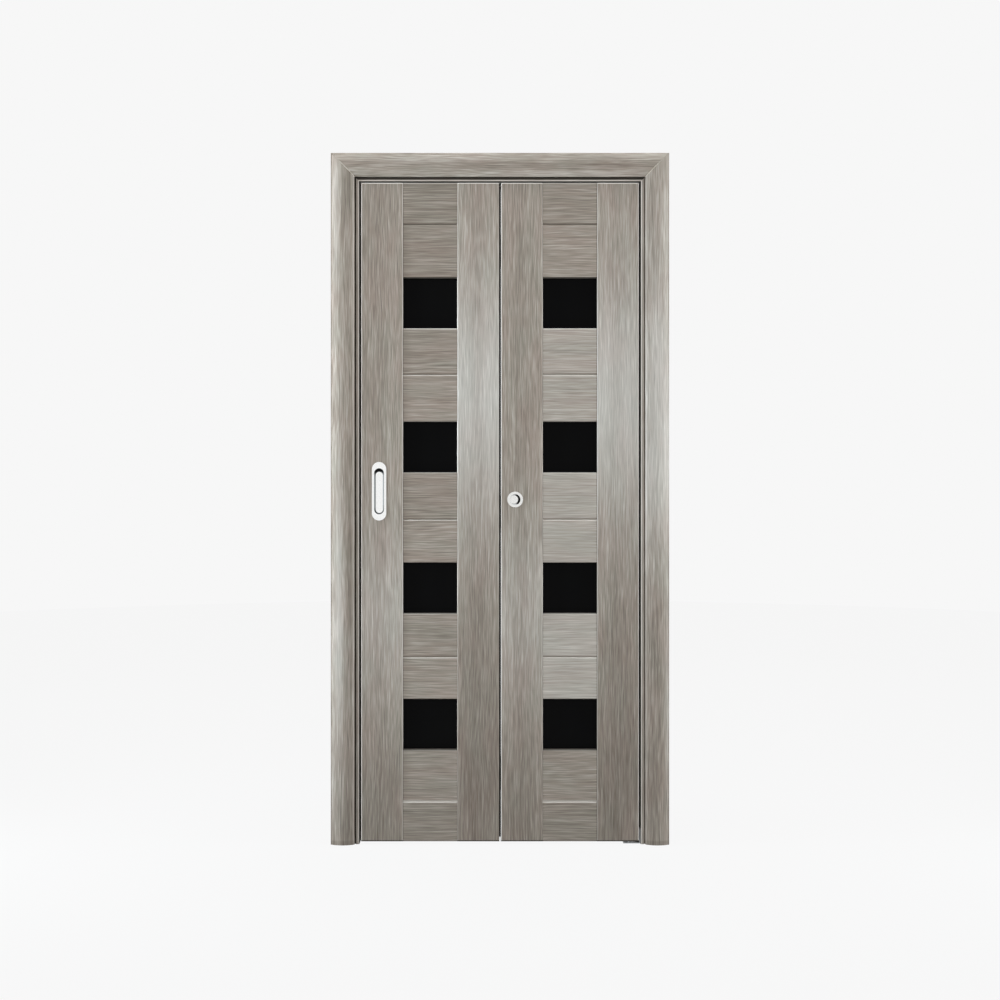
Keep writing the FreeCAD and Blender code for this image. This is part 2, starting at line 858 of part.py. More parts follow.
def write(pieces):
    os.makedirs("parts", exist_ok=True)
    for name, shapes in pieces.items():
        solids = [solid for shape in shapes for solid in shape.Solids]
        for solid in solids:
            assert solid.isValid() and solid.Volume > 0, name
        shape = solids[0] if len(solids) == 1 else Part.makeCompound(solids)
        shape.exportStep("parts/" + name + ".step")
        print("%-26s %d solid(s), %.1f cm3" % (name, len(solids), shape.Volume / 1000))


write(door())
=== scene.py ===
# %% [markdown]
# # A folding door, dressed in Blender
#
# The door is a pair of leaves that fold towards the viewer, closed in their frame. The leaves are framed
# from wide stiles and short rails under a printed grey oak film, with strips of black glass between them.
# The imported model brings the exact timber, and this file adds what the eye looks for: the print of the
# film, the crowned mouldings, the bright pulls, the hinges on the back, the light and the floor.
# Every length is in metres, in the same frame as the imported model.

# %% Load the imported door
import math

import bmesh
from bmesh.types import BMEdge, BMFace, BMVert
import bpy
from mathutils import Matrix, Vector


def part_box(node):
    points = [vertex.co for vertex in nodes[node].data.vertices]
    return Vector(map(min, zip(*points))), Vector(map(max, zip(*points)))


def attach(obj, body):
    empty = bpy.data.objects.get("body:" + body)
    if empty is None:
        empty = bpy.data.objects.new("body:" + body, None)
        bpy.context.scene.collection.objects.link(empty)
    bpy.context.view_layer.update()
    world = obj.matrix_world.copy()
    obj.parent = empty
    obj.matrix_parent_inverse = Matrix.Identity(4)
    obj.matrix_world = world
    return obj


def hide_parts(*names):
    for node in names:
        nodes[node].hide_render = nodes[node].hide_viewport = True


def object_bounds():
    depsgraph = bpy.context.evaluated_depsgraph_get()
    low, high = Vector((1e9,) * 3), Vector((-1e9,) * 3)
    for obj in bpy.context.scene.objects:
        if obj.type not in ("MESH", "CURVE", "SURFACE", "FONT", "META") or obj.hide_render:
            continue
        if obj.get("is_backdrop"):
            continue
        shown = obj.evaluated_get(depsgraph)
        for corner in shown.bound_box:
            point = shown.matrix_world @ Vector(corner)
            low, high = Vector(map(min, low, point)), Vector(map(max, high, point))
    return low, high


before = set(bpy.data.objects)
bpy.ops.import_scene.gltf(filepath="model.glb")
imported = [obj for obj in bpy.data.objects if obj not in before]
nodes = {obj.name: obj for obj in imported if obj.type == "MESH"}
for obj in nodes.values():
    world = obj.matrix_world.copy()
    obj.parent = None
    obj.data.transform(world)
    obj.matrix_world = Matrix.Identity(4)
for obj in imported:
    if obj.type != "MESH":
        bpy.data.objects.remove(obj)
cad_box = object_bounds()
MM = 0.001
print("The packed door has", len(nodes), "nodes and is", round((cad_box[1] - cad_box[0]).z, 3), "m high")

# %% [markdown]
# ## Measures that the looks share
#
# A new piece has to sit on the timber that carries it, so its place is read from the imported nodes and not
# typed again. Sizes that only a bought fitting has are named beside the step that makes it.

# %% Read the places of the leaves and the frame
LEFT_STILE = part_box("left_leaf_left_stile")
MEETING_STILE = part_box("right_leaf_left_stile")
PIVOT_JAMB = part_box("pivot_jamb")
LEAD_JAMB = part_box("lead_jamb")
HEAD_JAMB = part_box("head_jamb")
LEAF_FRONT = LEFT_STILE[0].y
LEAF_BACK = LEFT_STILE[1].y
FRAME_FRONT = PIVOT_JAMB[0].y
MIDDLE_X = (PIVOT_JAMB[1].x + LEAD_JAMB[0].x) / 2
PIVOT_FACE = PIVOT_JAMB[0].x
HEAD_FACE = HEAD_JAMB[0].z
print("Leaves from y", round(LEAF_FRONT, 4), "to", round(LEAF_BACK, 4))
print("The door's middle is at x", round(MIDDLE_X, 4))

# %% [markdown]
# ## Colours
#
# Blender mixes light in linear numbers, while paint charts and screens use display numbers from 0 to 255.
# A small helper turns the second kind into the first.

# %% A helper for display colours
def tone(red, green, blue):
    """A display colour, 0 to 255, as the linear colour that a shader takes."""
    def linear(level):
        share = level / 255
        return share / 12.92 if share <= 0.04045 else ((share + 0.055) / 1.055) ** 2.4
    return (linear(red), linear(green), linear(blue), 1.0)


print("Mid grey oak is", [round(c, 3) for c in tone(152, 144, 134)])

# %% [markdown]
# ## Small helpers for shader nodes
#
# Each finish is a little tree of nodes. Making and linking every node by hand would hide the idea of the
# finish, so a few helpers do both. A value that they take is a plain one or another node's output.

# %% Helpers that add and join nodes
def feed(tree, socket, value):
    """Links a socket to another node's output, or gives it a value of its own."""
    if isinstance(value, bpy.types.NodeSocket):
        tree.links.new(value, socket)
    else:
        socket.default_value = value


def put(tree, kind, settings=None, **values):
    """A new node. Settings are its own options, and values go into its sockets by name."""
    node = tree.nodes.new(kind)
    for key, value in (settings or {}).items():
        setattr(node, key, value)
    for key, value in values.items():
        feed(tree, node.inputs[key.replace("_", " ")], value)
    return node


def sums(tree, operation, *values):
    """One step of arithmetic on up to three values."""
    node = put(tree, "ShaderNodeMath", {"operation": operation})
    for socket, value in zip(node.inputs, values):
        feed(tree, socket, value)
    return node.outputs[0]


def vector_sums(tree, operation, first, second):
    """One step of arithmetic on two vectors, as its node."""
    node = put(tree, "ShaderNodeVectorMath", {"operation": operation})
    for socket, value in zip(node.inputs, (first, second)):
        feed(tree, socket, value)
    return node


def ramp(tree, value, **ends):
    """A value brought from one range to another, and kept within it. Ends that aren't named are 0 and 1."""
    return put(tree, "ShaderNodeMapRange", Value=value, **ends).outputs["Result"]


def blend_colours(tree, share, low, high, blend="MIX"):
    """A colour between two, by a share from 0 to 1. With MULTIPLY, the second scales the first."""
    node = put(tree, "ShaderNodeMix", {"data_type": "RGBA", "blend_type": blend}, Factor=share)
    for number, value in ((6, low), (7, high)):
        feed(tree, node.inputs[number], value)
    return node.outputs[2]


def stretched(tree, vector, scale):
    """A vector scaled by a different number along each axis."""
    return put(tree, "ShaderNodeMapping", Vector=vector, Scale=scale).outputs["Vector"]


def new_group(name, inputs, outputs):
    """A node group whose sockets are named with their kinds, and what its inputs bring."""
    group = bpy.data.node_groups.new(name, "ShaderNodeTree")
    for in_out, sockets in (("INPUT", inputs), ("OUTPUT", outputs)):
        for socket, kind in sockets.items():
            group.interface.new_socket(socket, in_out=in_out, socket_type="NodeSocket" + kind)
    return group, put(group, "NodeGroupInput").outputs


print("Node helpers are ready")

# %% [markdown]
# ## The oak print
#
# The film is a photograph of limed grey oak: long soft streaks, a broad flow of growth rings that bends
# into arches, fine dark pores, and a tone that drifts a little between green grey and pink grey.
# A picture would be the usual way. Layers of stretched noise have no seams and stay sharp close up, and
# each board can cut its own part of the pattern.
# The grain runs along the group's Z, and the board's own material turns the pattern for a rail.

# %% Build the oak print as a shader node group
def oak_print():
    """The print as a group. Its inputs are the place and the look of one board's cut."""
    inputs = {"Vector": "Vector", "Ground": "Color", "Light": "Color", "Dark": "Color", "Depth": "Float"}
    outputs = {"Color": "Color", "Height": "Float", "Roughness": "Float"}
    group, inner = new_group("oak_print", inputs, outputs)

    # The grain wanders from side to side along the board, and all its layers wander together.
    sway = put(group, "ShaderNodeTexNoise", Vector=stretched(group, inner["Vector"], (7.0, 7.0, 4.0)),
               Scale=1.0, Detail=1.0).outputs["Fac"]
    straight = put(group, "ShaderNodeSeparateXYZ", Vector=inner["Vector"]).outputs
    swayed = sums(group, "MULTIPLY_ADD", sway, 0.014, straight["X"])
    place = put(group, "ShaderNodeCombineXYZ", X=swayed, Y=straight["Y"], Z=straight["Z"]).outputs["Vector"]

    def grain(across, along, detail, distortion=0.0):
        """Noise drawn out along Z: so many marks to the metre across the board and along it."""
        vector = stretched(group, place, (across, across, along))
        return put(group, "ShaderNodeTexNoise", Vector=vector, Scale=1.0, Detail=detail, Roughness=0.6,
                   Distortion=distortion).outputs["Fac"]

    # The rings: bands across the board, bent by a slow noise so that they flow and close into arches.
    bent = sums(group, "MULTIPLY_ADD", grain(5.0, 1.1, 2.0), 110.0, sums(group, "MULTIPLY", swayed, 380.0))
    rings = sums(group, "MULTIPLY", sums(group, "SINE", bent), 0.5)

    # Bands, streaks, dashes and fibres are noise drawn out along the grain, each finer than the last. The
    # pores are only the peaks of such a noise.
    band = grain(42.0, 5.0, 2.0)
    streak = grain(170.0, 4.0, 2.0, 0.15)
    dash = grain(430.0, 6.0, 2.0, 0.3)
    fibre = grain(640.0, 16.0, 1.0)
    pore = ramp(group, grain(400.0, 15.0, 1.0), From_Min=0.60, From_Max=0.72)

    # One value from dark to light joins the layers.
    level = sums(group, "MULTIPLY", rings, 0.15)
    for layer, weight in ((band, 0.30), (streak, 0.45), (dash, 1.95), (fibre, 2.20)):
        level = sums(group, "MULTIPLY_ADD", sums(group, "SUBTRACT", layer, 0.5), weight, level)
    level = sums(group, "MULTIPLY", level, inner["Depth"])
    lift = sums(group, "MAXIMUM", level, 0.0)
    drop = sums(group, "MAXIMUM", sums(group, "MULTIPLY", level, -1.0), 0.0)

    # The ground drifts between pink grey and green grey, and the layers draw it lighter or darker.
    hue = ramp(group, grain(16.0, 5.0, 2.0), From_Min=0.35, From_Max=0.65)
    tint = blend_colours(group, hue, (1.03, 0.98, 0.975, 1.0), (0.97, 1.005, 0.99, 1.0))
    ground = vector_sums(group, "MULTIPLY", inner["Ground"], tint).outputs[0]
    colour = blend_colours(group, lift, ground, inner["Light"])
    colour = blend_colours(group, drop, colour, inner["Dark"])
    colour = blend_colours(group, sums(group, "MULTIPLY", pore, 0.45), colour, inner["Dark"])

    height = sums(group, "SUBTRACT", sums(group, "MULTIPLY", fibre, 0.5), sums(group, "MULTIPLY", pore, 0.8))
    rough = sums(group, "ADD", sums(group, "MULTIPLY", streak, 0.12), 0.46)
    put(group, "NodeGroupOutput", Color=colour, Height=height, Roughness=rough)
    return group


OAK = oak_print()
print("The oak print has", len(OAK.nodes), "nodes")

# %% [markdown]
# ## Pale edges
#
# Where the film is stretched over a rounded edge it turns paler, and on top of that a painted highlight
# stands for the light that the edge catches, so a round gets more of it on the side that the lamps light.
# That pale line round every stile and rail is one of the first things the eye finds on this door.
# The edges need no marking: a flat face looks straight along one axis, and a round looks between two. So
# the mask grows as the largest part of the normal drops below 1, and the signs of the other parts tell to
# which side a round looks.

# %% Build the edge mask as a shader node group
SIDES = ("Left", "Right", "Up", "Down")


def pale_film_and_highlight():
    """How pale a round between flat faces turns, as pale film and painted highlight. Left, Right, Up and Down
    are the shares for the side that the round looks to."""
    inputs = {"Normal": "Vector", **dict.fromkeys(SIDES, "Float")}
    group, inner = new_group("pale_film_and_highlight", inputs, {"Mask": "Float"})
    parts = put(group, "ShaderNodeSeparateXYZ", Vector=inner["Normal"]).outputs
    sizes = [sums(group, "ABSOLUTE", part) for part in parts]
    largest = sums(group, "MAXIMUM", sums(group, "MAXIMUM", sizes[0], sizes[1]), sizes[2])
    between = ramp(group, largest, From_Min=0.982, From_Max=0.92)
    total = 0.0
    for side, part, sign in zip(SIDES, (0, 0, 2, 2), (-1.0, 1.0, 1.0, -1.0)):
        facing = ramp(group, sums(group, "MULTIPLY", parts[part], sign), From_Max=0.3)
        total = sums(group, "MULTIPLY_ADD", facing, inner[side], total)
    put(group, "NodeGroupOutput", Mask=sums(group, "MULTIPLY", between, total))
    return group


# Pale film with a painted highlight on the rounds.
FILM_AND_HIGHLIGHT_MASK = pale_film_and_highlight()
print("The edge mask has", len(FILM_AND_HIGHLIGHT_MASK.nodes), "nodes")

# %% [markdown]
# ## Laminate for one board
#
# A press shop lays the film on each board from another part of the roll, so neighbours differ a little in
# tone and never share a streak. Each board here gets its own material with its own shift of the pattern.
# The grain of a stile runs up and that of a rail across, which is a quarter turn in the Mapping node.
# The print also fades to a paler or a deeper tone over broad stretches, which are soft bells along one axis,
# or along two for a spot. Where such a fade deepens a board towards the floor it is painted shade. Scaling
# the colour keeps its streaks as strong as they were and mixing blurs them, so pale film gets some of each. A
# steeper bell lays a stripe with an edge over the print: the paler rim of a board, which is pale film with a
# painted highlight, or painted shade in a groove or gap, which is matt so that no gloss brightens it.

# %% A material for one laminated board
GROUND = tone(151, 141, 130)
LIGHT = tone(202, 195, 185)
DARK = tone(104, 95, 85)
PALE = tone(208, 203, 195)
DEEP = tone(100, 89, 78)
PALER = tuple(pale / ground for pale, ground in zip(PALE, GROUND))
DEEPER = tuple(deep / ground for deep, ground in zip(DEEP, GROUND))
# The next tone is painted shade for grooves, gaps and rounds that turn away from the light, and the one after
# it is pale film with a painted highlight for rounds and rims.
SHADE = tone(44, 40, 34)
FILM_AND_HIGHLIGHT_TONE = tone(248, 242, 234)


def fade(middle, reach, share, axis="Z"):
    """A broad stretch that is paler, or deeper where share is below 0."""
    return ((axis, middle, reach, 2.0),), share, None


def spot(x, reach_x, z, reach_z, share):
    """A soft patch round one point of a front."""
    return (("X", x, reach_x, 2.0), ("Z", z, reach_z, 2.0)), share, None


def line(axis, middle, half, share, colour=None):
    """A narrow stripe across one axis."""
    return ((axis, middle, half, 8.0),), share, colour


def toned(tree, colour, share, paler):
    """The print made paler or deeper by a share."""
    if not paler:
        return blend_colours(tree, share, colour, DEEPER, "MULTIPLY")
    softer = blend_colours(tree, sums(tree, "MULTIPLY", share, 0.5), colour, PALE)
    return blend_colours(tree, sums(tree, "MULTIPLY", share, 0.4), softer, PALER, "MULTIPLY")


def new_material(name):
    """A material, its tree and its shader."""
    material = bpy.data.materials.new(name)
    material.use_nodes = True
    return material, material.node_tree, material.node_tree.nodes["Principled BSDF"]


def laminate(name, shift, turned=False, share=0.0, marks=(), depth=1.0, edge=None, draw=1.0):
    """Laminate whose cut of the print is moved by shift, and turned where the grain runs across. Share turns
    it paler all over, or deeper where it is below 0. Marks are fades, spots and lines, among them painted
    highlights and painted shade. Depth is how strong the streaks are, and a draw below 1 lengthens them on a
    turned board. Edge is how pale the rounds become that look left, right, up and down, as pale film and
    painted highlight."""
    material, tree, shader = new_material(name)
    coordinates = put(tree, "ShaderNodeTexCoord").outputs
    place = coordinates["Object"]
    rotation = (0.0, math.pi / 2 if turned else 0.0, 0.0)
    cut = put(tree, "ShaderNodeMapping", Vector=place, Location=shift, Rotation=rotation,
              Scale=(draw, 1.0, 1.0)).outputs["Vector"]
    board = put(tree, "ShaderNodeGroup", {"node_tree": OAK}, Vector=cut, Ground=GROUND, Light=LIGHT,
                Dark=DARK, Depth=depth)
    colour = board.outputs["Color"]
    if share:
        colour = toned(tree, colour, abs(share), share > 0)
    # Pale film and a painted highlight on the rounds, by the side that each looks to.
    if edge:
        mask = put(tree, "ShaderNodeGroup", {"node_tree": FILM_AND_HIGHLIGHT_MASK}, Normal=coordinates["Normal"],
                   **dict(zip(SIDES, edge)))
        colour = blend_colours(tree, mask.outputs["Mask"], colour, FILM_AND_HIGHLIGHT_TONE)
    rough = board.outputs["Roughness"]
    parts = put(tree, "ShaderNodeSeparateXYZ", Vector=place).outputs
    # Fades, spots and lines of print, and of painted highlight and painted shade.
    for bells, amount, mark in marks:
        strength = abs(amount)
        for axis, middle, reach, power in bells:
            away = sums(tree, "DIVIDE", sums(tree, "SUBTRACT", parts[axis], middle), reach)
            fall = sums(tree, "POWER", sums(tree, "ABSOLUTE", away), power)
            bell = sums(tree, "EXPONENT", sums(tree, "MULTIPLY", fall, -1.0))
            strength = sums(tree, "MULTIPLY", bell, strength)
        if mark is None:
            colour = toned(tree, colour, strength, amount > 0)
        else:
            colour = blend_colours(tree, strength, colour, mark)
        if mark is SHADE:
            rough = sums(tree, "MAXIMUM", rough, strength)
    tree.links.new(colour, shader.inputs["Base Color"])
    tree.links.new(rough, shader.inputs["Roughness"])
    relief = put(tree, "ShaderNodeBump", Height=board.outputs["Height"], Strength=0.12, Distance=0.0003)
    tree.links.new(relief.outputs["Normal"], shader.inputs["Normal"])
    return material


def finish(node, material):
    """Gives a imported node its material."""
    mesh = nodes[node].data
    mesh.materials.clear()
    mesh.materials.append(material)


print("Pale film is", round(PALER[0], 2), "times its ground, and deep film", round(DEEPER[0], 2))

# %% [markdown]
# ## The leaves' boards
#
# Each stile of the left leaf has the same pale stretch as its twin on the right one. A painted highlight lies
# where the film wraps over a leaf's top and sides, and painted shade, nearly black, where a round turns down
# to the glass, to the fold or to the floor. All stiles also get a painted shade that deepens towards the
# floor.

# %% Laminate the stiles
LEAF_FOOT, LEAF_TOP = LEFT_STILE[0].z, LEFT_STILE[1].z
# Painted highlight along the leaf's top, and painted shade at its very top and at its foot.
TOP_HIGHLIGHT = line("Z", LEAF_TOP, 3.6 * MM, 0.80, FILM_AND_HIGHLIGHT_TONE)
TOP_SHADE = line("Z", LEAF_TOP, 0.7 * MM, 0.80, SHADE)
FOOT_SHADE = line("Z", LEAF_FOOT, 4.2 * MM, 0.88, SHADE)
# Painted shade that deepens towards the floor.
LOWER_SHADE = fade(0.05, 0.33, -0.48)
PLAIN_STILE = (fade(0.71, 0.26, 0.26), LOWER_SHADE)
PALE_STILE = (fade(1.35, 0.37, 0.60), fade(0.42, 0.40, -0.30), LOWER_SHADE)
HEART = 58 * MM
HEART_REACH = 20 * MM
SIDE_HIGHLIGHT = 3.4 * MM

# A stile's cut and marks, the share of its pale outer rim with its painted highlight, how many millimetres of
# its outer and inner edge get painted shade, and how pale its rounds are that look left, right, up and down,
# as pale film and painted highlight.
STILES = {
    # The left stile of each leaf gets painted shade near its top, against the key lamp's light there.
    "left_leaf_left_stile": ((0.34, 0.0, 0.72), PLAIN_STILE + (fade(1.95, 0.45, -0.16),), 0.95, 0.0, 0.8,
                             (0.95, 0.45, 0.85, 0.0)),
    "left_leaf_right_stile": ((1.17, 0.4, 2.9), PALE_STILE, 0.0, 1.3, 0.0, (0.30, 0.20, 0.60, 0.0)),
    "right_leaf_left_stile": ((2.63, 0.9, 4.4), PLAIN_STILE + (fade(1.95, 0.45, -0.06),), 0.92, 1.9, 0.0,
                              (0.80, 0.20, 0.60, 0.0)),
    "right_leaf_right_stile": ((3.41, 1.3, 6.2), PALE_STILE, 0.75, 0.0, 1.6, (0.50, 0.85, 0.60, 0.0)),
}
for node, (shift, marks, rim, outer_shade, inner_shade, edge) in STILES.items():
    low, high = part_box(node)
    outer, inner = (low.x, high.x) if node.endswith("left_stile") else (high.x, low.x)
    marks += (fade(low.x + HEART, HEART_REACH, -0.18, "X"), TOP_HIGHLIGHT, TOP_SHADE,
              line("X", outer, SIDE_HIGHLIGHT, rim, FILM_AND_HIGHLIGHT_TONE), FOOT_SHADE)
    for face, width in ((outer, outer_shade), (inner, inner_shade)):
        if width:
            marks += (line("X", face, width * MM, 0.95, SHADE),)
    finish(node, laminate("laminate_" + node, shift, marks=marks, edge=edge))
print("Laminated", len(STILES), "stiles")

# %% [markdown]
# ## The rails
#
# The rails step through the print by a fixed amount, which keeps neighbours apart. They lie in pairs with
# panes between, so all odd rows but the first have glass over them, and all even rows but the last have it
# below. Where a pair meets in a V, the upper rail's lower lip gets painted shade, but a painted highlight on
# the ninth row, and the lower rail's upper round gets a painted highlight, but painted shade on the second
# row. Beside the glass a rail gets a line of painted shade.

# %% Laminate the rails
# From the top rail down: how pale or deep each cut is in both leaves, how strong the painted highlight on the
# upper round is, and how many millimetres are in painted shade beside the glass.
RAIL_SHARES = {
    "left_leaf": (-0.38, -0.37, -0.28, -0.14, -0.26, -0.12, -0.20, -0.12, -0.26, -0.44),
    "right_leaf": (-0.22, -0.10, 0.21, 0.20, 0.26, 0.25, 0.31, 0.30, -0.24, -0.41),
}
UPPER_ROUND_HIGHLIGHTS = (0.55, 0.0, 0.5, 0.55, 0.5, 0.55, 0.5, 0.55, 0.5, 0.55)
GLASS_SHADES = (0.0, 2.6, 0.6, 1.1, 1.8, 0.9, 2.2, 0.5, 3.0, 0.0)
LAST_ROW = len(UPPER_ROUND_HIGHLIGHTS)


def rail_marks(leaf, row, low, high):
    """The marks on one rail, whose box goes from low to high."""
    marks = ()
    if leaf == "left_leaf" and 1 < row < LAST_ROW:
        marks += (fade(LEFT_STILE[1].x, 17 * MM, -0.32, "X"), fade(high.x, 30 * MM, 0.06, "X"))
    if GLASS_SHADES[row - 1]:
        marks += (line("Z", high.z if row % 2 else low.z, GLASS_SHADES[row - 1] * MM, 0.9, SHADE),)
    # Painted shade on the lower lip of the upper rail in a V.
    if row % 2 and row < LAST_ROW - 1:
        marks += (line("Z", low.z + 3.2 * MM, 2.0 * MM, 0.55, DEEP),)
    # Painted highlights along the leaf's top and on the ninth rail's lower lip, and painted shade at the very
    # top, on the second rail's upper round and at the leaf's foot.
    extra = {
        1: (line("Z", LEAF_TOP, 3.6 * MM, 0.35, FILM_AND_HIGHLIGHT_TONE), TOP_SHADE),
        2: (line("Z", high.z - 4 * MM, 4 * MM, 0.40, DEEP),),
        LAST_ROW - 1: (line("Z", low.z + 1.5 * MM, 2 * MM, 0.35, FILM_AND_HIGHLIGHT_TONE),),
        LAST_ROW: (line("Z", LEAF_FOOT, 3.2 * MM, 0.50, SHADE),),
    }
    return marks + extra.get(row, ())


for leaf, shares in RAIL_SHARES.items():
    for row, (share, pale) in enumerate(zip(shares, UPPER_ROUND_HIGHLIGHTS), 1):
        node = f"{leaf}_rail_{row:02d}"
        shift = (0.83 * row, 0.29 * row, 1.37 * row + (0.5 if leaf == "right_leaf" else 0.0))
        finish(node, laminate("laminate_" + node, shift, turned=True, share=share,
                              marks=rail_marks(leaf, row, *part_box(node)), depth=0.8 if share > 0.2 else 0.9,
                              edge=(0.0, 0.0, pale, 0.0), draw=0.8))
print("Laminated", len(RAIL_SHARES) * LAST_ROW, "rails")

# %% [markdown]
# ## The frame's boards
#
# Jambs, stop beads and mouldings are wrapped in the same film, with the grain along their length. Of a jamb
# the front shows only a narrow strip between the leaf and the moulding, and light and shade are painted on
# it: painted shade on the turned edge, a painted highlight on the rim, then a band and a groove. On the pivot
# side the band gets a painted highlight and the groove a little painted shade. Elsewhere the band is grey
# with painted shade and the groove nearly black with it. The side jambs also get painted shade that deepens
# towards the floor.

# %% Laminate the jambs and stops
REVEAL = 14 * MM
LEAD_FACE = LEAD_JAMB[1].x
# Painted shade that the moulding throws on the jamb.
BAND_SHADOW = tone(92, 89, 84)


def strip(axis, face, outwards, groove=4.9 * MM, dark=1.0 * MM, rim=0.5, band=(0.25, BAND_SHADOW), depth=0.95):
    """The rim's painted highlight, the band, and the painted shade in the groove and on the edge of a jamb,
    by their place out from its inner face.
    """
    return (
        line(axis, face + outwards * (dark + 1.5 * MM), 1.6 * MM, rim, FILM_AND_HIGHLIGHT_TONE),
        line(axis, face + outwards * 7.0 * MM, 2.7 * MM, *band),
        line(axis, face + outwards * (REVEAL + 0.5 * MM - groove / 2), groove / 2, depth, SHADE),
        line(axis, face, dark, 0.95, SHADE),
    )


# Painted shade that deepens towards the floor.
JAMB_LOWER_SHADE = (fade(0.20, 0.40, -0.35),)
STRIPS = {
    "pivot_jamb": strip("X", PIVOT_FACE, 1, rim=0.75, band=(0.10, FILM_AND_HIGHLIGHT_TONE), depth=0.25) + JAMB_LOWER_SHADE,
    "lead_jamb": strip("X", LEAD_FACE, -1) + JAMB_LOWER_SHADE,
    "head_jamb": strip("Z", HEAD_FACE, 1, 9.0 * MM, rim=0.4),
}
for index, node in enumerate(("pivot_jamb", "lead_jamb", "pivot_stop", "lead_stop")):
    shift = (0.37 * index + 5.0, 0.0, 0.61 * index)
    finish(node, laminate("laminate_" + node, shift, marks=STRIPS.get(node, ())))
for index, node in enumerate(("head_jamb", "head_stop")):
    shift = (0.45 * index + 7.0, 0.0, 0.8)
    finish(node, laminate("laminate_" + node, shift, turned=True, marks=STRIPS.get(node, ())))
print("Laminated the jambs and stops")

# %% [markdown]
# ## Black glass
#
# The panes are lacquered black on the back. From straight in front the smooth face hardly reflects, so
# the shader's specular level is low, and a faint unevenness breaks the gloss.

# %% Make the glass and put it in both leaves
def cloudy(name, low, high, scale, rough_low, rough_high, metallic=0.0, specular=0.5, stretch=(1, 1, 1)):
    """A material whose colour and roughness drift between two values, as on any real surface."""
    material, tree, shader = new_material(name)
    place = put(tree, "ShaderNodeTexCoord").outputs["Object"]
    cloud = put(tree, "ShaderNodeTexNoise", Vector=stretched(tree, place, stretch), Scale=scale,
                Detail=3.0).outputs["Fac"]
    tree.links.new(blend_colours(tree, cloud, low, high), shader.inputs["Base Color"])
    tree.links.new(ramp(tree, cloud, To_Min=rough_low, To_Max=rough_high), shader.inputs["Roughness"])
    shader.inputs["Metallic"].default_value = metallic
    shader.inputs["Specular IOR Level"].default_value = specular
    return material


glass = cloudy("black_glass", tone(8, 8, 9), tone(12, 12, 12), 6.0, 0.10, 0.16, specular=0.03)
for leaf in ("left_leaf", "right_leaf"):
    finish(leaf + "_glass", glass)
print("Glass is in")

# %% [markdown]
# ## Metals and seals
#
# The pulls are satin chrome, the hinges, pivots and track fittings zinc-plated steel, and the track mill
# aluminium, whose die lines run along X. The fin and the brush strips are black.

# %% Make the metals and seals
chrome = cloudy("satin_chrome", tone(233, 233, 231), tone(244, 244, 241), 90.0, 0.22, 0.32, metallic=1.0)
bright = cloudy("bright_chrome", tone(251, 252, 251), tone(255, 255, 254), 90.0, 0.20, 0.28, metallic=1.0)
zinc = cloudy("zinc_steel", tone(160, 163, 166), tone(192, 193, 194), 90.0, 0.30, 0.46, metallic=1.0)
aluminium = cloudy("aluminium", tone(186, 188, 190), tone(206, 207, 208), 1.0, 0.30, 0.44, metallic=1.0,
                   stretch=(2, 900, 900))
rubber = cloudy("black_rubber", tone(22, 22, 22), tone(36, 36, 35), 120.0, 0.62, 0.8, specular=0.3)
for node, material in (("top_track", aluminium), ("roller_and_pivots", zinc),
                       ("meeting_seal", rubber), ("frame_brush_seal", rubber)):
    finish(node, material)
print("Metals and seals are in")

# %% [markdown]
# ## Helpers that shape new pieces
#
# A new piece is drawn in a bmesh and then becomes an object at the origin, with its place in its mesh.
# Smooth shading breaks at edges sharper than a given angle, so a round stays round and a corner crisp.
# The operators answer with vertices, edges and faces in one list, so a helper picks one kind out of it.
# The others give the operators that every piece needs their usual options.

# %% Helpers for bmesh pieces
CLOSE = 1e-6


def only(kind, items):
    """Those of an operator's results that are of one kind."""
    return [item for item in items if isinstance(item, kind)]


def edges_where(bm, test):
    """The edges whose two ends pass a test together."""
    return [e for e in bm.edges if test(*(v.co for v in e.verts))]


def move(bm, vec, verts=None):
    """Moves a shape, or some of its vertices."""
    bmesh.ops.translate(bm, verts=bm.verts if verts is None else verts, vec=vec)


def turn(bm, angle, axis):
    """Turns a shape about an axis through the origin."""
    bmesh.ops.rotate(bm, verts=bm.verts, cent=(0, 0, 0), matrix=Matrix.Rotation(angle, 3, axis))


def face_out(bm):
    """Lets all faces look outwards."""
    bmesh.ops.recalc_face_normals(bm, faces=bm.faces)


def soften(bm, edges, width, segments, place=None):
    """Bevels some edges, in their neighbours' finish or in the one at a place in the piece's list."""
    made = bmesh.ops.bevel(bm, geom=edges, offset=width, segments=segments, profile=0.5, affect="EDGES",
                           material=-1)["faces"]
    if place is not None:
        for face in made:
            face.material_index = place


def linked(name, data):
    """A new object in the scene."""
    thing = bpy.data.objects.new(name, data)
    bpy.context.scene.collection.objects.link(thing)
    return thing


def as_object(bm, name, materials):
    """Turns a bmesh into an object."""
    mesh = bpy.data.meshes.new(name)
    bm.to_mesh(mesh)
    bm.free()
    for material in materials:
        mesh.materials.append(material)
    return linked(name, mesh)


def as_piece(bm, name, materials, sharp):
    """Turns a bmesh into a piece that rides on the door, with edges over so many degrees kept sharp."""
    bmesh.ops.remove_doubles(bm, verts=bm.verts, dist=CLOSE)
    face_out(bm)
    piece = as_object(bm, name, materials)
    piece.data.shade_smooth()
    piece.data.set_sharp_from_angle(angle=math.radians(sharp))
    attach(piece, "root")
    return piece


print("Shaping helpers are ready")

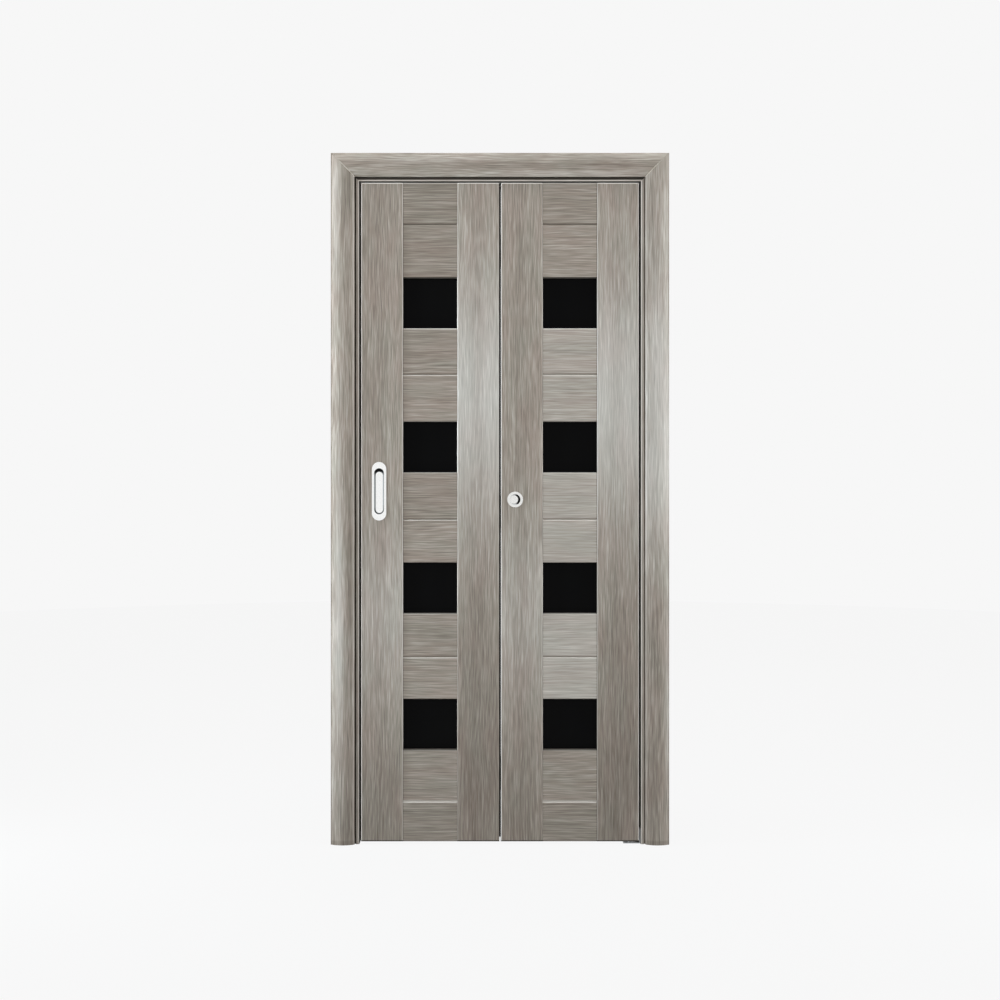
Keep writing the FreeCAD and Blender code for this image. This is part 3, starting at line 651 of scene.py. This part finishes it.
# %% [markdown]
# ## The architraves
#
# The mouldings are crowned: their face is one shallow arc from edge to edge, which catches the light down
# the left side of the door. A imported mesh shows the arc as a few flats, so each moulding is drawn again.
# One vertex is spun into the arc, the rest of the section closes it, and the section is extruded. The
# mitre is a cut by a slanting plane. A fine bevel on the cut's rim shows as a pale line of bare board.

# %% Draw a moulding's section and run it out
BAR_WIDTH = 72 * MM
CROWN = 14 * MM
SHOULDER = 4 * MM
SHOULDER_ROUND = 1 * MM
TONGUE = (4 * MM, 9.6 * MM, 14 * MM)
MITRE_BEVEL = 0.7 * MM
ARC_STEPS = 28
ARC_RISE = CROWN - SHOULDER
ARC_RADIUS = (BAR_WIDTH ** 2 / 4 + ARC_RISE ** 2) / (2 * ARC_RISE)
ARC_HALF = math.asin(BAR_WIDTH / 2 / ARC_RADIUS)


def moulding(length):
    """A length of architrave run along Z from 0, its back on y 0, its face to -Y and inner edge at x 0."""
    bm = bmesh.new()
    start = bm.verts.new((0, -SHOULDER, 0))
    centre = (BAR_WIDTH / 2, ARC_RADIUS - CROWN, 0)
    arc = bmesh.ops.spin(bm, geom=[start], cent=centre, axis=(0, 0, 1), angle=2 * ARC_HALF, steps=ARC_STEPS)
    end = arc["geom_last"][0]
    near, far, deep = TONGUE
    rest = [(BAR_WIDTH, 0, 0), (far, 0, 0), (far, deep, 0), (near, deep, 0), (near, 0, 0), (0, 0, 0)]
    verts = [end] + [bm.verts.new(point) for point in rest] + [start]
    for first, second in zip(verts, verts[1:]):
        bm.edges.new((first, second))
    face = bmesh.ops.contextual_create(bm, geom=bm.edges[:])["faces"]
    out = bmesh.ops.extrude_face_region(bm, geom=face)["geom"]
    move(bm, (0, 0, length), only(BMVert, out))
    face_out(bm)

    def shoulder(a, b):
        at_side = min(abs(a.x), abs(a.x - BAR_WIDTH)) < CLOSE
        return abs(a.z - b.z) > length / 2 and abs(a.y + SHOULDER) < CLOSE and at_side
    soften(bm, edges_where(bm, shoulder), SHOULDER_ROUND, 3)
    return bm


def mitre(bm, point, normal):
    """Cuts a moulding by a plane and caps it. Returns the cut's rim."""
    whole = bm.verts[:] + bm.edges[:] + bm.faces[:]
    cut = bmesh.ops.bisect_plane(bm, geom=whole, plane_co=point, plane_no=normal, clear_outer=True)
    rim = only(BMEdge, cut["geom_cut"])
    bmesh.ops.contextual_create(bm, geom=rim)
    return rim


def bevel_cut(bm, rim):
    """A fine bevel, in the second finish, on the part of a mitre's rim that lies on the moulding's face."""
    lowest = SHOULDER_ROUND + 0.2 * MM - SHOULDER
    on_face = [e for e in rim if e.is_valid and all(v.co.y < lowest for v in e.verts)]
    soften(bm, on_face, MITRE_BEVEL, 1, place=1)


print("The crown's arc has a radius of", round(ARC_RADIUS / MM, 1), "mm")

# %% [markdown]
# ## Placing the six mouldings
#
# Three mouldings go round the opening on the front, and three more on the back. The head is turned a
# quarter, so its inner edge looks down, and mitred at both ends. The bare edge of a mitre is palest at the
# inner corner and closes up on its way out.

# %% Shape the side and head mouldings
SIDE_TOP = HEAD_FACE + REVEAL + BAR_WIDTH
INNER_X = PIVOT_FACE + REVEAL
CORNER = Vector((INNER_X, 0, HEAD_FACE + REVEAL))
SPARE = 10 * MM
cut_edge = cloudy("cut_edge", tone(228, 220, 206), tone(244, 238, 226), 300.0, 0.55, 0.7)
tree = cut_edge.node_tree
colour = tree.nodes["Principled BSDF"].inputs["Base Color"]
place = put(tree, "ShaderNodeTexCoord").outputs["Object"]
height = put(tree, "ShaderNodeSeparateXYZ", Vector=place).outputs["Z"]
closed = ramp(tree, height, From_Min=CORNER.z + 20 * MM, From_Max=SIDE_TOP - 12 * MM)
tree.links.new(blend_colours(tree, closed, colour.links[0].from_socket, tone(140, 131, 120)), colour)


def side_moulding():
    """The moulding on the pivot side, from the floor to its mitre."""
    bm = moulding(SIDE_TOP + SPARE)
    move(bm, (INNER_X, 0, 0))
    bevel_cut(bm, mitre(bm, CORNER, Vector((-1, 0, 1)).normalized()))
    return bm


def head_moulding():
    """The moulding over the door, mitred at both ends."""
    half = CORNER.x - MIDDLE_X
    bm = moulding(2 * (half + BAR_WIDTH + SPARE))
    turn(bm, -math.pi / 2, "Y")
    low = min(v.co.x for v in bm.verts)
    high = max(v.co.x for v in bm.verts)
    move(bm, (MIDDLE_X - (low + high) / 2, 0, CORNER.z))
    rims = []
    for sign in (1, -1):
        corner = Vector((MIDDLE_X + sign * half, 0, CORNER.z))
        rims.append(mitre(bm, corner, Vector((sign, 0, -1)).normalized()))
    for rim in rims:
        bevel_cut(bm, rim)
    return bm


print("The side mouldings are", round(SIDE_TOP, 3), "m high")

# %% [markdown]
# ## How the print falls on the mouldings
#
# Each moulding has its own run of paler and darker stretches, and light and shade are painted along its edges
# and at its foot. The broad ones are fades. The patches are listed by their distance from the inner edge,
# which serves the sides and the head alike. The lead side mirrors the pivot side, and the rear mirrors the
# front.

# %% Fit the architraves to the frame
LEAD_X = 2 * MIDDLE_X - INNER_X
# Painted shade at a moulding's foot and along its outer shoulder.
MOULDING_FOOT_SHADE = line("Z", 0.0, 14 * MM, -0.35)
SHOULDER_SHADE = 3.2 * MM

# A patch's distance from the inner edge and its reach in millimetres, its place along the moulding and its
# reach in metres, and the share.
SPOTS = {
    "pivot": ((14, 18, 1.94, 0.11, -0.40), (38, 27, 1.52, 0.18, 0.40), (10, 13, 1.22, 0.15, -0.30),
              (66, 9, 0.44, 0.36, 0.28), (24, 14, 0.57, 0.10, -0.18), (14, 18, 0.16, 0.15, -0.28),
              (7, 10, 1.72, 0.17, -0.38)),
    "lead": ((22, 16, 1.96, 0.14, -0.32), (9, 10, 0.70, 0.45, -0.48), (46, 12, 0.68, 0.46, 0.36),
             (54, 14, 2.00, 0.07, 0.20), (43, 9, 1.34, 0.10, -0.20), (18, 20, 0.07, 0.12, -0.34),
             (67, 8, 0.20, 0.12, 0.22), (54, 9, 1.82, 0.16, 0.22)),
    "head": ((8, 9, -0.27, 0.24, 0.25), (26, 8, -0.20, 0.24, -0.15), (47, 9, -0.70, 0.18, 0.16),
             (47, 9, -0.15, 0.18, -0.16)),
}


def patches(place, inner, outwards=1):
    """The spots of one moulding, from the place of its inner edge."""
    made = ()
    for distance, reach, along, length, share in SPOTS[place]:
        across = (inner + outwards * distance * MM, reach * MM)
        ends = (along, length, *across) if place == "head" else (*across, along, length)
        made += (spot(*ends, share),)
    return made


# Painted light on the mouldings: a painted highlight along the inner edge, painted shade along the outer
# shoulder and at the foot, and a fade near the floor that is painted shade. The lead side also gets painted
# shade on the inner edge itself. The head's two fades are painted shade on the middle of the crown and a
# painted highlight on its upper slope.
MARKS = {
    "pivot": (line("X", INNER_X + 2.4 * MM, 2.6 * MM, 0.13, FILM_AND_HIGHLIGHT_TONE), MOULDING_FOOT_SHADE,
              line("X", INNER_X + BAR_WIDTH, SHOULDER_SHADE, -0.75), fade(1.20, 0.30, 0.55),
              fade(0.55, 0.30, -0.30), fade(1.85, 0.25, 0.15), fade(0.05, 0.30, -0.30))
             + patches("pivot", INNER_X),
    "lead": (line("X", LEAD_X - 3.6 * MM, 1.5 * MM, 0.30, FILM_AND_HIGHLIGHT_TONE), line("X", LEAD_X, 1.6 * MM, -0.35),
             line("X", LEAD_X - BAR_WIDTH, SHOULDER_SHADE, -0.95), MOULDING_FOOT_SHADE, fade(0.60, 0.20, 0.12),
             fade(0.05, 0.30, -0.35)) + patches("lead", LEAD_X, -1),
    "head": (fade(CORNER.z + 36 * MM, 9 * MM, -0.32), fade(CORNER.z + 57 * MM, 8 * MM, 0.07))
            + patches("head", CORNER.z),
}
for index, side in enumerate(("front", "rear")):
    for place in ("pivot", "lead", "head"):
        shape = head_moulding() if place == "head" else side_moulding()
        move(shape, (0, FRAME_FRONT, 0))
        mirror = (-1 if place == "lead" else 1, -1 if side == "rear" else 1, 1)
        bmesh.ops.scale(shape, verts=shape.verts, vec=mirror, space=Matrix.Translation((-MIDDLE_X, 0, 0)))
        film = laminate(f"laminate_{side}_architrave_{place}", (9.0 + 0.7 * index, 0.3, 1.9 * len(place)),
                        turned=place == "head", marks=MARKS[place])
        name = f"{side}_moulding_{place}"
        piece = as_piece(shape, name, [film, cut_edge], sharp=25.0)
        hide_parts(f"{side}_architrave_{place}")
        print(name, [round(c, 3) for c in piece.dimensions])

# %% [markdown]
# ## The flush pulls
#
# A flush pull is a thin polished rim with a cup behind it. Its outlines are round-ended slots, each a
# circle whose two halves are moved apart. One such loop is drawn out again and again, from the back of the
# cup, round the rim and down into the hollow, so that the whole pull is one closed skin.

# %% Draw a pull out of one loop
RIM = 1.6 * MM
RIM_BEVEL = 0.7 * MM
MOUTH_BEVEL = 0.35 * MM
FLOOR_BEVEL = 0.4 * MM
CUP_DEPTH = 8 * MM
FLOOR_DEPTH = 7 * MM
SHELL = 1 * MM
ROUND_STEPS = 72


def shape_ring(bm, verts, was, now):
    """Moves a ring from one size to another. A size is (width, height, level, shift across, shift up)."""
    move(bm, (-was[3], -was[4], 0), verts)
    for sign in (1, -1):
        half = [v for v in verts if sign * v.co.y > 0]
        move(bm, (0, -sign * (was[1] - was[0]) / 2, 0), half)
        bmesh.ops.scale(bm, verts=half, vec=(now[0] / was[0], now[0] / was[0], 1))
        move(bm, (0, sign * (now[1] - now[0]) / 2, 0), half)
    move(bm, (now[3], now[4], now[2] - was[2]), verts)


def next_ring(bm, edges, was, now):
    """Draws a ring out of the last one, with the wall between them."""
    out = bmesh.ops.extrude_edge_only(bm, edges=edges)["geom"]
    shape_ring(bm, only(BMVert, out), was, now)
    return only(BMEdge, out), only(BMFace, out)


def flush_pull(outer, mouth, floor, floor_shift):
    """One pull, its rim's back on level 0. Outer, mouth and floor are (width, height)."""
    bm = bmesh.new()
    cup = (mouth[0] + 2 * SHELL, mouth[1] + 2 * SHELL)
    rings = [
        (*cup, -CUP_DEPTH, 0, 0),
        (*cup, 0, 0, 0),
        (*outer, 0, 0, 0),
        (*outer, RIM, 0, 0),
        (*mouth, RIM, 0, 0),
        (*floor, -FLOOR_DEPTH, *floor_shift),
    ]
    made = bmesh.ops.create_circle(bm, cap_ends=True, segments=ROUND_STEPS, radius=cup[0] / 2)["verts"]
    turn(bm, math.pi / ROUND_STEPS, "Z")
    edges = bm.edges[:]
    shape_ring(bm, made, (cup[0], cup[0], 0, 0, 0), rings[0])
    drawn = []
    for was, now in zip(rings, rings[1:]):
        edges, wall = next_ring(bm, edges, was, now)
        drawn.append(edges)
    # The hollow's wall takes the second material, its painted shade.
    for face in wall:
        face.material_index = 1
    bmesh.ops.edgeloop_fill(bm, edges=edges)
    face_out(bm)
    for ring, width in zip(drawn[2:], (RIM_BEVEL, MOUTH_BEVEL, FLOOR_BEVEL)):
        soften(bm, ring, width, 4, place=0)
    return bm


print("A pull's cup is", round(CUP_DEPTH / MM, 1), "mm deep")

# %% [markdown]
# ## The shade in the pulls
#
# The steep side of each hollow is in its own shade and nearly black, and the other sides are grey. Both are
# painted: the wall has a material of painted shade, which goes from black to grey across the pull. This dark
# crescent of painted shade is at the top of the long pull and at the right of the round one.

# %% Make the pulls and fit them
LEAD_PULL_X = LEFT_STILE[0].x + 55 * MM
LEAD_PULL_Z = 1.071
FOLD_PULL_X = MEETING_STILE[0].x + 44 * MM
FOLD_PULL_Z = 1.046


def painted_hollow_shade(name, centre, direction, start, end, grey, far=0.0):
    """The wall's painted shade: grey before start and black after end, measured along a direction. Far is how
    black it turns at the other end."""
    material, tree, shader = new_material(name)
    shader.inputs["Roughness"].default_value = 0.45
    place = put(tree, "ShaderNodeTexCoord").outputs["Object"]
    from_centre = vector_sums(tree, "SUBTRACT", place, centre).outputs[0]
    along = vector_sums(tree, "DOT_PRODUCT", from_centre, direction).outputs["Value"]
    near = ramp(tree, along, From_Min=start, From_Max=end)
    back = ramp(tree, along, From_Min=-start, From_Max=-end, To_Max=far)
    dark = blend_colours(tree, sums(tree, "MAXIMUM", near, back), grey, tone(6, 6, 6))
    tree.links.new(dark, shader.inputs["Base Color"])
    shader.inputs["Specular IOR Level"].default_value = 0.1
    return material


lead_hollow_shade = painted_hollow_shade("lead_pull_painted_shade", (LEAD_PULL_X, 0, LEAD_PULL_Z), (-0.1, 0, 0.99), 46 * MM,
                          60 * MM, tone(128, 131, 131), 0.7)
fold_hollow_shade = painted_hollow_shade("fold_pull_painted_shade", (FOLD_PULL_X, 0, FOLD_PULL_Z), (0.99, 0, 0.1), 0, 5 * MM,
                          tone(205, 206, 205))

# The width and height of a pull's rim, of the hollow's mouth and of its floor, and how far the floor is
# shifted, in millimetres. Then its place, and its chrome with the painted shade of its hollow.
LONG_PULL = ((44, 178), (30, 140), (22, 125), (0, -3.5)), LEAD_PULL_X, LEAD_PULL_Z, [bright, lead_hollow_shade]
ROUND_PULL = ((48, 48), (32.4, 32.4), (25, 25), (-3.6, 0)), FOLD_PULL_X, FOLD_PULL_Z, [chrome, fold_hollow_shade]
PULLS = {
    "lead_pull_front": (*LONG_PULL, False),
    "lead_pull_rear": (*LONG_PULL, True),
    "fold_pull": (*ROUND_PULL, False),
}
for name, (form, x, z, chrome_and_shade, back) in PULLS.items():
    shape = flush_pull(*[tuple(value * MM for value in pair) for pair in form])
    turn(shape, math.pi / 2, "X")
    if back:
        turn(shape, math.pi, "Z")
    move(shape, (x, LEAF_BACK if back else LEAF_FRONT, z))
    piece = as_piece(shape, name, chrome_and_shade, sharp=40.0)
    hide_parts("flush_pulls")
    print(name, [round(c * 1000, 1) for c in piece.dimensions], "mm")

# %% [markdown]
# ## Screws
#
# A countersunk screw head is a shallow disc with a cross recess. The disc starts as a small grid whose
# middle squares are pushed in as the cross. Its edge is bridged to a circle, and the circle is drawn down
# into the cone. The hinges and the floor bracket share this one head.

# %% Shape a countersunk head
HEAD_RADIUS = 3.8 * MM
HEAD_STEPS = 24
CROSS_CELLS = 6
CROSS_WIDTH = 4.2 * MM
CROSS_DEPTH = 1.1 * MM
CONE_DEPTH = 1.8 * MM
DISH = 0.15 * MM
SHANK_RADIUS = 1.9 * MM


def screw_head(angle):
    """A head whose face lies on level 0 and looks along Z, as a bmesh. Angle sets how the cross stands."""
    bm = bmesh.new()
    bmesh.ops.create_grid(bm, x_segments=CROSS_CELLS, y_segments=CROSS_CELLS, size=CROSS_WIDTH / 2)
    cell = CROSS_WIDTH / CROSS_CELLS
    cross = []
    for face in bm.faces:
        middle = face.calc_center_median()
        near, far = sorted((abs(middle.x), abs(middle.y)))
        if near < cell and far < 2 * cell:
            cross.append(face)
    rim = [edge for edge in bm.edges if edge.is_boundary]
    out = bmesh.ops.extrude_face_region(bm, geom=cross)["geom"]
    bmesh.ops.delete(bm, geom=cross, context="FACES_ONLY")
    move(bm, (0, 0, -CROSS_DEPTH), only(BMVert, out))
    circle = bmesh.ops.create_circle(bm, cap_ends=False, segments=HEAD_STEPS, radius=HEAD_RADIUS)["verts"]
    move(bm, (0, 0, -DISH), circle)
    ring = [edge for edge in bm.edges if set(edge.verts) <= set(circle)]
    bmesh.ops.bridge_loops(bm, edges=rim + ring)
    cone = bmesh.ops.extrude_edge_only(bm, edges=ring)["geom"]
    tip = only(BMVert, cone)
    shrink = SHANK_RADIUS / HEAD_RADIUS
    bmesh.ops.scale(bm, verts=tip, vec=(shrink, shrink, 1))
    move(bm, (0, 0, -CONE_DEPTH), tip)
    bmesh.ops.edgeloop_fill(bm, edges=only(BMEdge, cone))
    turn(bm, angle, "Z")
    face_out(bm)
    return bm


def join(bm, other):
    """Adds another bmesh to this one."""
    mesh = bpy.data.meshes.new("joined")
    other.to_mesh(mesh)
    other.free()
    bm.from_mesh(mesh)
    bpy.data.meshes.remove(mesh)


print("A head has a", round(2 * HEAD_RADIUS / MM, 1), "mm face")

# %% [markdown]
# ## The fold hinges
#
# Three butt hinges on the back let the leaves fold. Each has two flaps, three knuckles on one axis, a pin
# with domed ends and three screws in each flap. The plates are cubes brought to size and the knuckles
# cones with equal ends, so that a fine bevel can break every edge.

# %% Shape one hinge
HINGE_HEIGHT = 100 * MM
FLAP_REACH = 32 * MM
FLAP_THICKNESS = 2 * MM
FLAP_CORNER = 1.5 * MM
KNUCKLE_RADIUS = 5 * MM
KNUCKLES = 3
KNUCKLE_GAP = 0.4 * MM
PIN_RADIUS = 3.2 * MM
AXIS_Y = LEAF_BACK + KNUCKLE_RADIUS
FLAP_EDGE = 0.3 * MM
FLAP_FACE = LEAF_BACK + FLAP_THICKNESS
KNUCKLE_EDGE = 0.4 * MM
PIN_PROUD = 1.6 * MM
PIN_DOME = 1.5 * MM
SCREW_X = 21 * MM
SCREW_PITCH = 34 * MM
SCREW_FACE = FLAP_FACE + 0.2 * MM


def plate(low, high, corner_x=None):
    """A flat plate between two corners of its box. Its own corners at corner_x get a round."""
    bm = bmesh.new()
    bmesh.ops.create_cube(bm, size=1.0)
    size = Vector(high) - Vector(low)
    bmesh.ops.scale(bm, verts=bm.verts, vec=size)
    move(bm, (Vector(low) + Vector(high)) / 2)
    if corner_x is not None:
        through = edges_where(bm, lambda a, b: abs(a.y - b.y) > size.y / 2 and abs(a.x - corner_x) < CLOSE)
        soften(bm, through, FLAP_CORNER, 4)
    soften(bm, edges_where(bm, lambda a, b: min(a.y, b.y) > high[1] - CLOSE), FLAP_EDGE, 2)
    return bm


def round_bar(radius, low, high, edge, segments=3):
    """An upright round bar on the hinge's axis with rounded ends."""
    bm = bmesh.new()
    bmesh.ops.create_cone(bm, cap_ends=True, segments=40, radius1=radius, radius2=radius, depth=high - low)
    soften(bm, edges_where(bm, lambda a, b: abs(a.z - b.z) < CLOSE), edge, segments)
    move(bm, (MIDDLE_X, AXIS_Y, (low + high) / 2))
    return bm


def fold_hinge(middle):
    """One hinge on the backs of the leaves, at a height."""
    bm = bmesh.new()
    low = middle - HINGE_HEIGHT / 2
    step = HINGE_HEIGHT / KNUCKLES
    for side in (-1, 1):
        reach = MIDDLE_X + side * FLAP_REACH
        near = MIDDLE_X + side * KNUCKLE_RADIUS
        left, right = sorted((near, reach))
        join(bm, plate((left, LEAF_BACK, low), (right, FLAP_FACE, low + HINGE_HEIGHT), reach))
        for row in (-1, 0, 1):
            head = screw_head(0.5 + row + 0.7 * side)
            turn(head, -math.pi / 2, "X")
            move(head, (MIDDLE_X + side * SCREW_X, SCREW_FACE, middle + row * SCREW_PITCH))
            join(bm, head)
        for index in range(0 if side > 0 else 1, KNUCKLES, 2):
            start = low + index * step + KNUCKLE_GAP / 2
            end = start + step - KNUCKLE_GAP
            join(bm, round_bar(KNUCKLE_RADIUS, start, end, KNUCKLE_EDGE))
            left, right = sorted((MIDDLE_X + side * MM, near + side * MM))
            join(bm, plate((left, LEAF_BACK, start), (right, FLAP_FACE, end)))
    join(bm, round_bar(PIN_RADIUS, low - PIN_PROUD, low + HINGE_HEIGHT + PIN_PROUD, PIN_DOME, 5))
    return bm


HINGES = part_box("fold_hinges")
lowest = HINGES[0].z + HINGE_HEIGHT / 2
highest = HINGES[1].z - HINGE_HEIGHT / 2
for name, height in (("low", lowest), ("middle", (lowest + highest) / 2), ("high", highest)):
    piece = as_piece(fold_hinge(height), "fold_hinge_" + name, [zinc], sharp=30.0)
    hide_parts("fold_hinges")
    print(piece.name, "has", len(piece.data.polygons), "faces")

# %% [markdown]
# ## The screws of the floor bracket
#
# Two more of the same heads hold down the floor pivot's bracket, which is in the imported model.

# %% Put screws in the floor bracket
LEAF_MIDDLE = (LEAF_FRONT + LEAF_BACK) / 2
BRACKET_SCREWS_X = (-74 * MM, -40 * MM)
BRACKET_TOP = 2.5 * MM
shape = bmesh.new()
for x, angle in zip(BRACKET_SCREWS_X, (-0.4, 0.4)):
    head = screw_head(angle)
    move(head, (x, LEAF_MIDDLE, BRACKET_TOP + 0.3 * MM))
    join(shape, head)
as_piece(shape, "floor_bracket_screws", [zinc], sharp=30.0)
print("Bracket screws at x", [round(x, 3) for x in BRACKET_SCREWS_X])

# %% [markdown]
# ## The floor and the light
#
# A product picture stands the door on seamless white under broad soft light. The key light hangs at the
# upper left, a weaker one fills from the right, another hangs over the door, and two tall strips well out
# to the sides graze the outer slopes of the mouldings. Two more light the back. The white round the door is
# what the camera sees of the world and the floor, and not more light on the door.

# %% Floor and world
WHITE = 0.93
FLOOR_WHITE = 0.948
FLOOR_SIZE = 9.0
FLOOR_DROP = 0.5 * MM
FLOOR_GLOW = 0.96
AMBIENT = 0.33


def seen_directly(tree):
    """One where a ray comes from the camera, a mirror or glass, and zero for the light on the door."""
    path = put(tree, "ShaderNodeLightPath").outputs
    either = sums(tree, "MAXIMUM", path["Is Camera Ray"], path["Is Glossy Ray"])
    return sums(tree, "MAXIMUM", either, path["Is Transmission Ray"])


bm = bmesh.new()
bmesh.ops.create_circle(bm, cap_ends=True, segments=64, radius=FLOOR_SIZE)
move(bm, (MIDDLE_X, 0, -FLOOR_DROP))
floor_paint, tree, shader = new_material("floor_paint")
for socket, value in (("Base Color", tone(186, 186, 185)), ("Roughness", 0.9), ("Specular IOR Level", 0.0)):
    shader.inputs[socket].default_value = value
glow = put(tree, "ShaderNodeEmission", Color=(FLOOR_WHITE, FLOOR_WHITE, FLOOR_WHITE, 1.0), Strength=1.0)
mixed = put(tree, "ShaderNodeMixShader", Fac=sums(tree, "MULTIPLY", seen_directly(tree), FLOOR_GLOW))
tree.links.new(shader.outputs[0], mixed.inputs[1])
tree.links.new(glow.outputs[0], mixed.inputs[2])
tree.links.new(mixed.outputs[0], tree.nodes["Material Output"].inputs["Surface"])
as_object(bm, "floor", [floor_paint])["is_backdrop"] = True

world = bpy.data.worlds.new("studio")
bpy.context.scene.world = world
world.use_nodes = True
tree = world.node_tree
backdrop = tree.nodes["Background"]
backdrop.inputs["Color"].default_value = (1.0, 1.0, 1.0, 1.0)
level = ramp(tree, seen_directly(tree), To_Min=AMBIENT, To_Max=WHITE)
tree.links.new(level, backdrop.inputs["Strength"])
print("The floor is", 2 * FLOOR_SIZE, "m across")

# %% Lamps
def softbox(name, place, target, width, height, power, colour=(1.0, 1.0, 1.0)):
    """A rectangular lamp that neither the camera nor a mirror sees."""
    light = bpy.data.lights.new(name, "AREA")
    light.shape = "RECTANGLE"
    light.size = width
    light.size_y = height
    light.energy = power
    light.color = colour
    lamp = linked(name, light)
    lamp.location = place
    lamp.rotation_euler = (Vector(target) - Vector(place)).to_track_quat("-Z", "Y").to_euler()
    lamp.visible_camera = False
    lamp.visible_glossy = False


COOL = (0.88, 0.95, 1.0)
COOLEST = (0.82, 0.92, 1.0)
softbox("key", (-2.4, -3.2, 2.8), (MIDDLE_X, 0, 1.2), 1.6, 1.6, 32)
softbox("fill", (2.2, -3.0, 1.8), (MIDDLE_X, 0, 1.1), 1.6, 1.6, 11)
softbox("top", (MIDDLE_X, -0.30, 3.3), (MIDDLE_X, 0, 1.6), 2.0, 0.4, 24, COOL)
softbox("left_strip", (-2.35, -0.36, 1.32), (-0.95, 0, 1.1), 0.4, 2.4, 63, COOLEST)
softbox("right_strip", (1.45, -0.36, 1.32), (0.05, 0, 1.1), 0.4, 2.4, 38, COOL)
softbox("rear_key", (1.6, 3.2, 2.8), (MIDDLE_X, 0, 1.2), 1.6, 1.6, 32)
softbox("rear_fill", (-3.0, 3.0, 1.8), (MIDDLE_X, 0, 1.1), 1.6, 1.6, 12)
print("There are", len(bpy.data.lights), "lamps")

# %% [markdown]
# ## The camera
#
# The photograph looks straight at the door from nearly four metres, at half the door's height. The lens
# follows from how many millimetres one pixel covers on the leaves' front.

# %% Set the camera
DISTANCE = 3.7
METRES_PER_PIXEL = 3.0354 * MM
IMAGE_SIZE = 1000
EYE_HEIGHT = 1.0445
SENSOR_WIDTH = 36.0
camera_data = bpy.data.cameras.new("camera")
camera_data.sensor_width = SENSOR_WIDTH
camera_data.lens = SENSOR_WIDTH * DISTANCE / (IMAGE_SIZE * METRES_PER_PIXEL)
camera = linked("camera", camera_data)
camera.location = (MIDDLE_X, LEAF_FRONT - DISTANCE, EYE_HEIGHT)
camera.rotation_euler = (math.pi / 2, 0, 0)
bpy.context.scene.camera = camera
bpy.context.scene.view_settings.view_transform = "Standard"
print("The lens is", round(camera_data.lens, 2), "mm")

# %% [markdown]
# ## The size
#
# The dressed door has to fit the imported door's box. Both boxes are printed.

# %% Print both boxes
visual_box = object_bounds()
for name, box in (("CAD", cad_box), ("Visual", visual_box)):
    print(name, "box", [[round(c, 4) for c in corner] for corner in box])
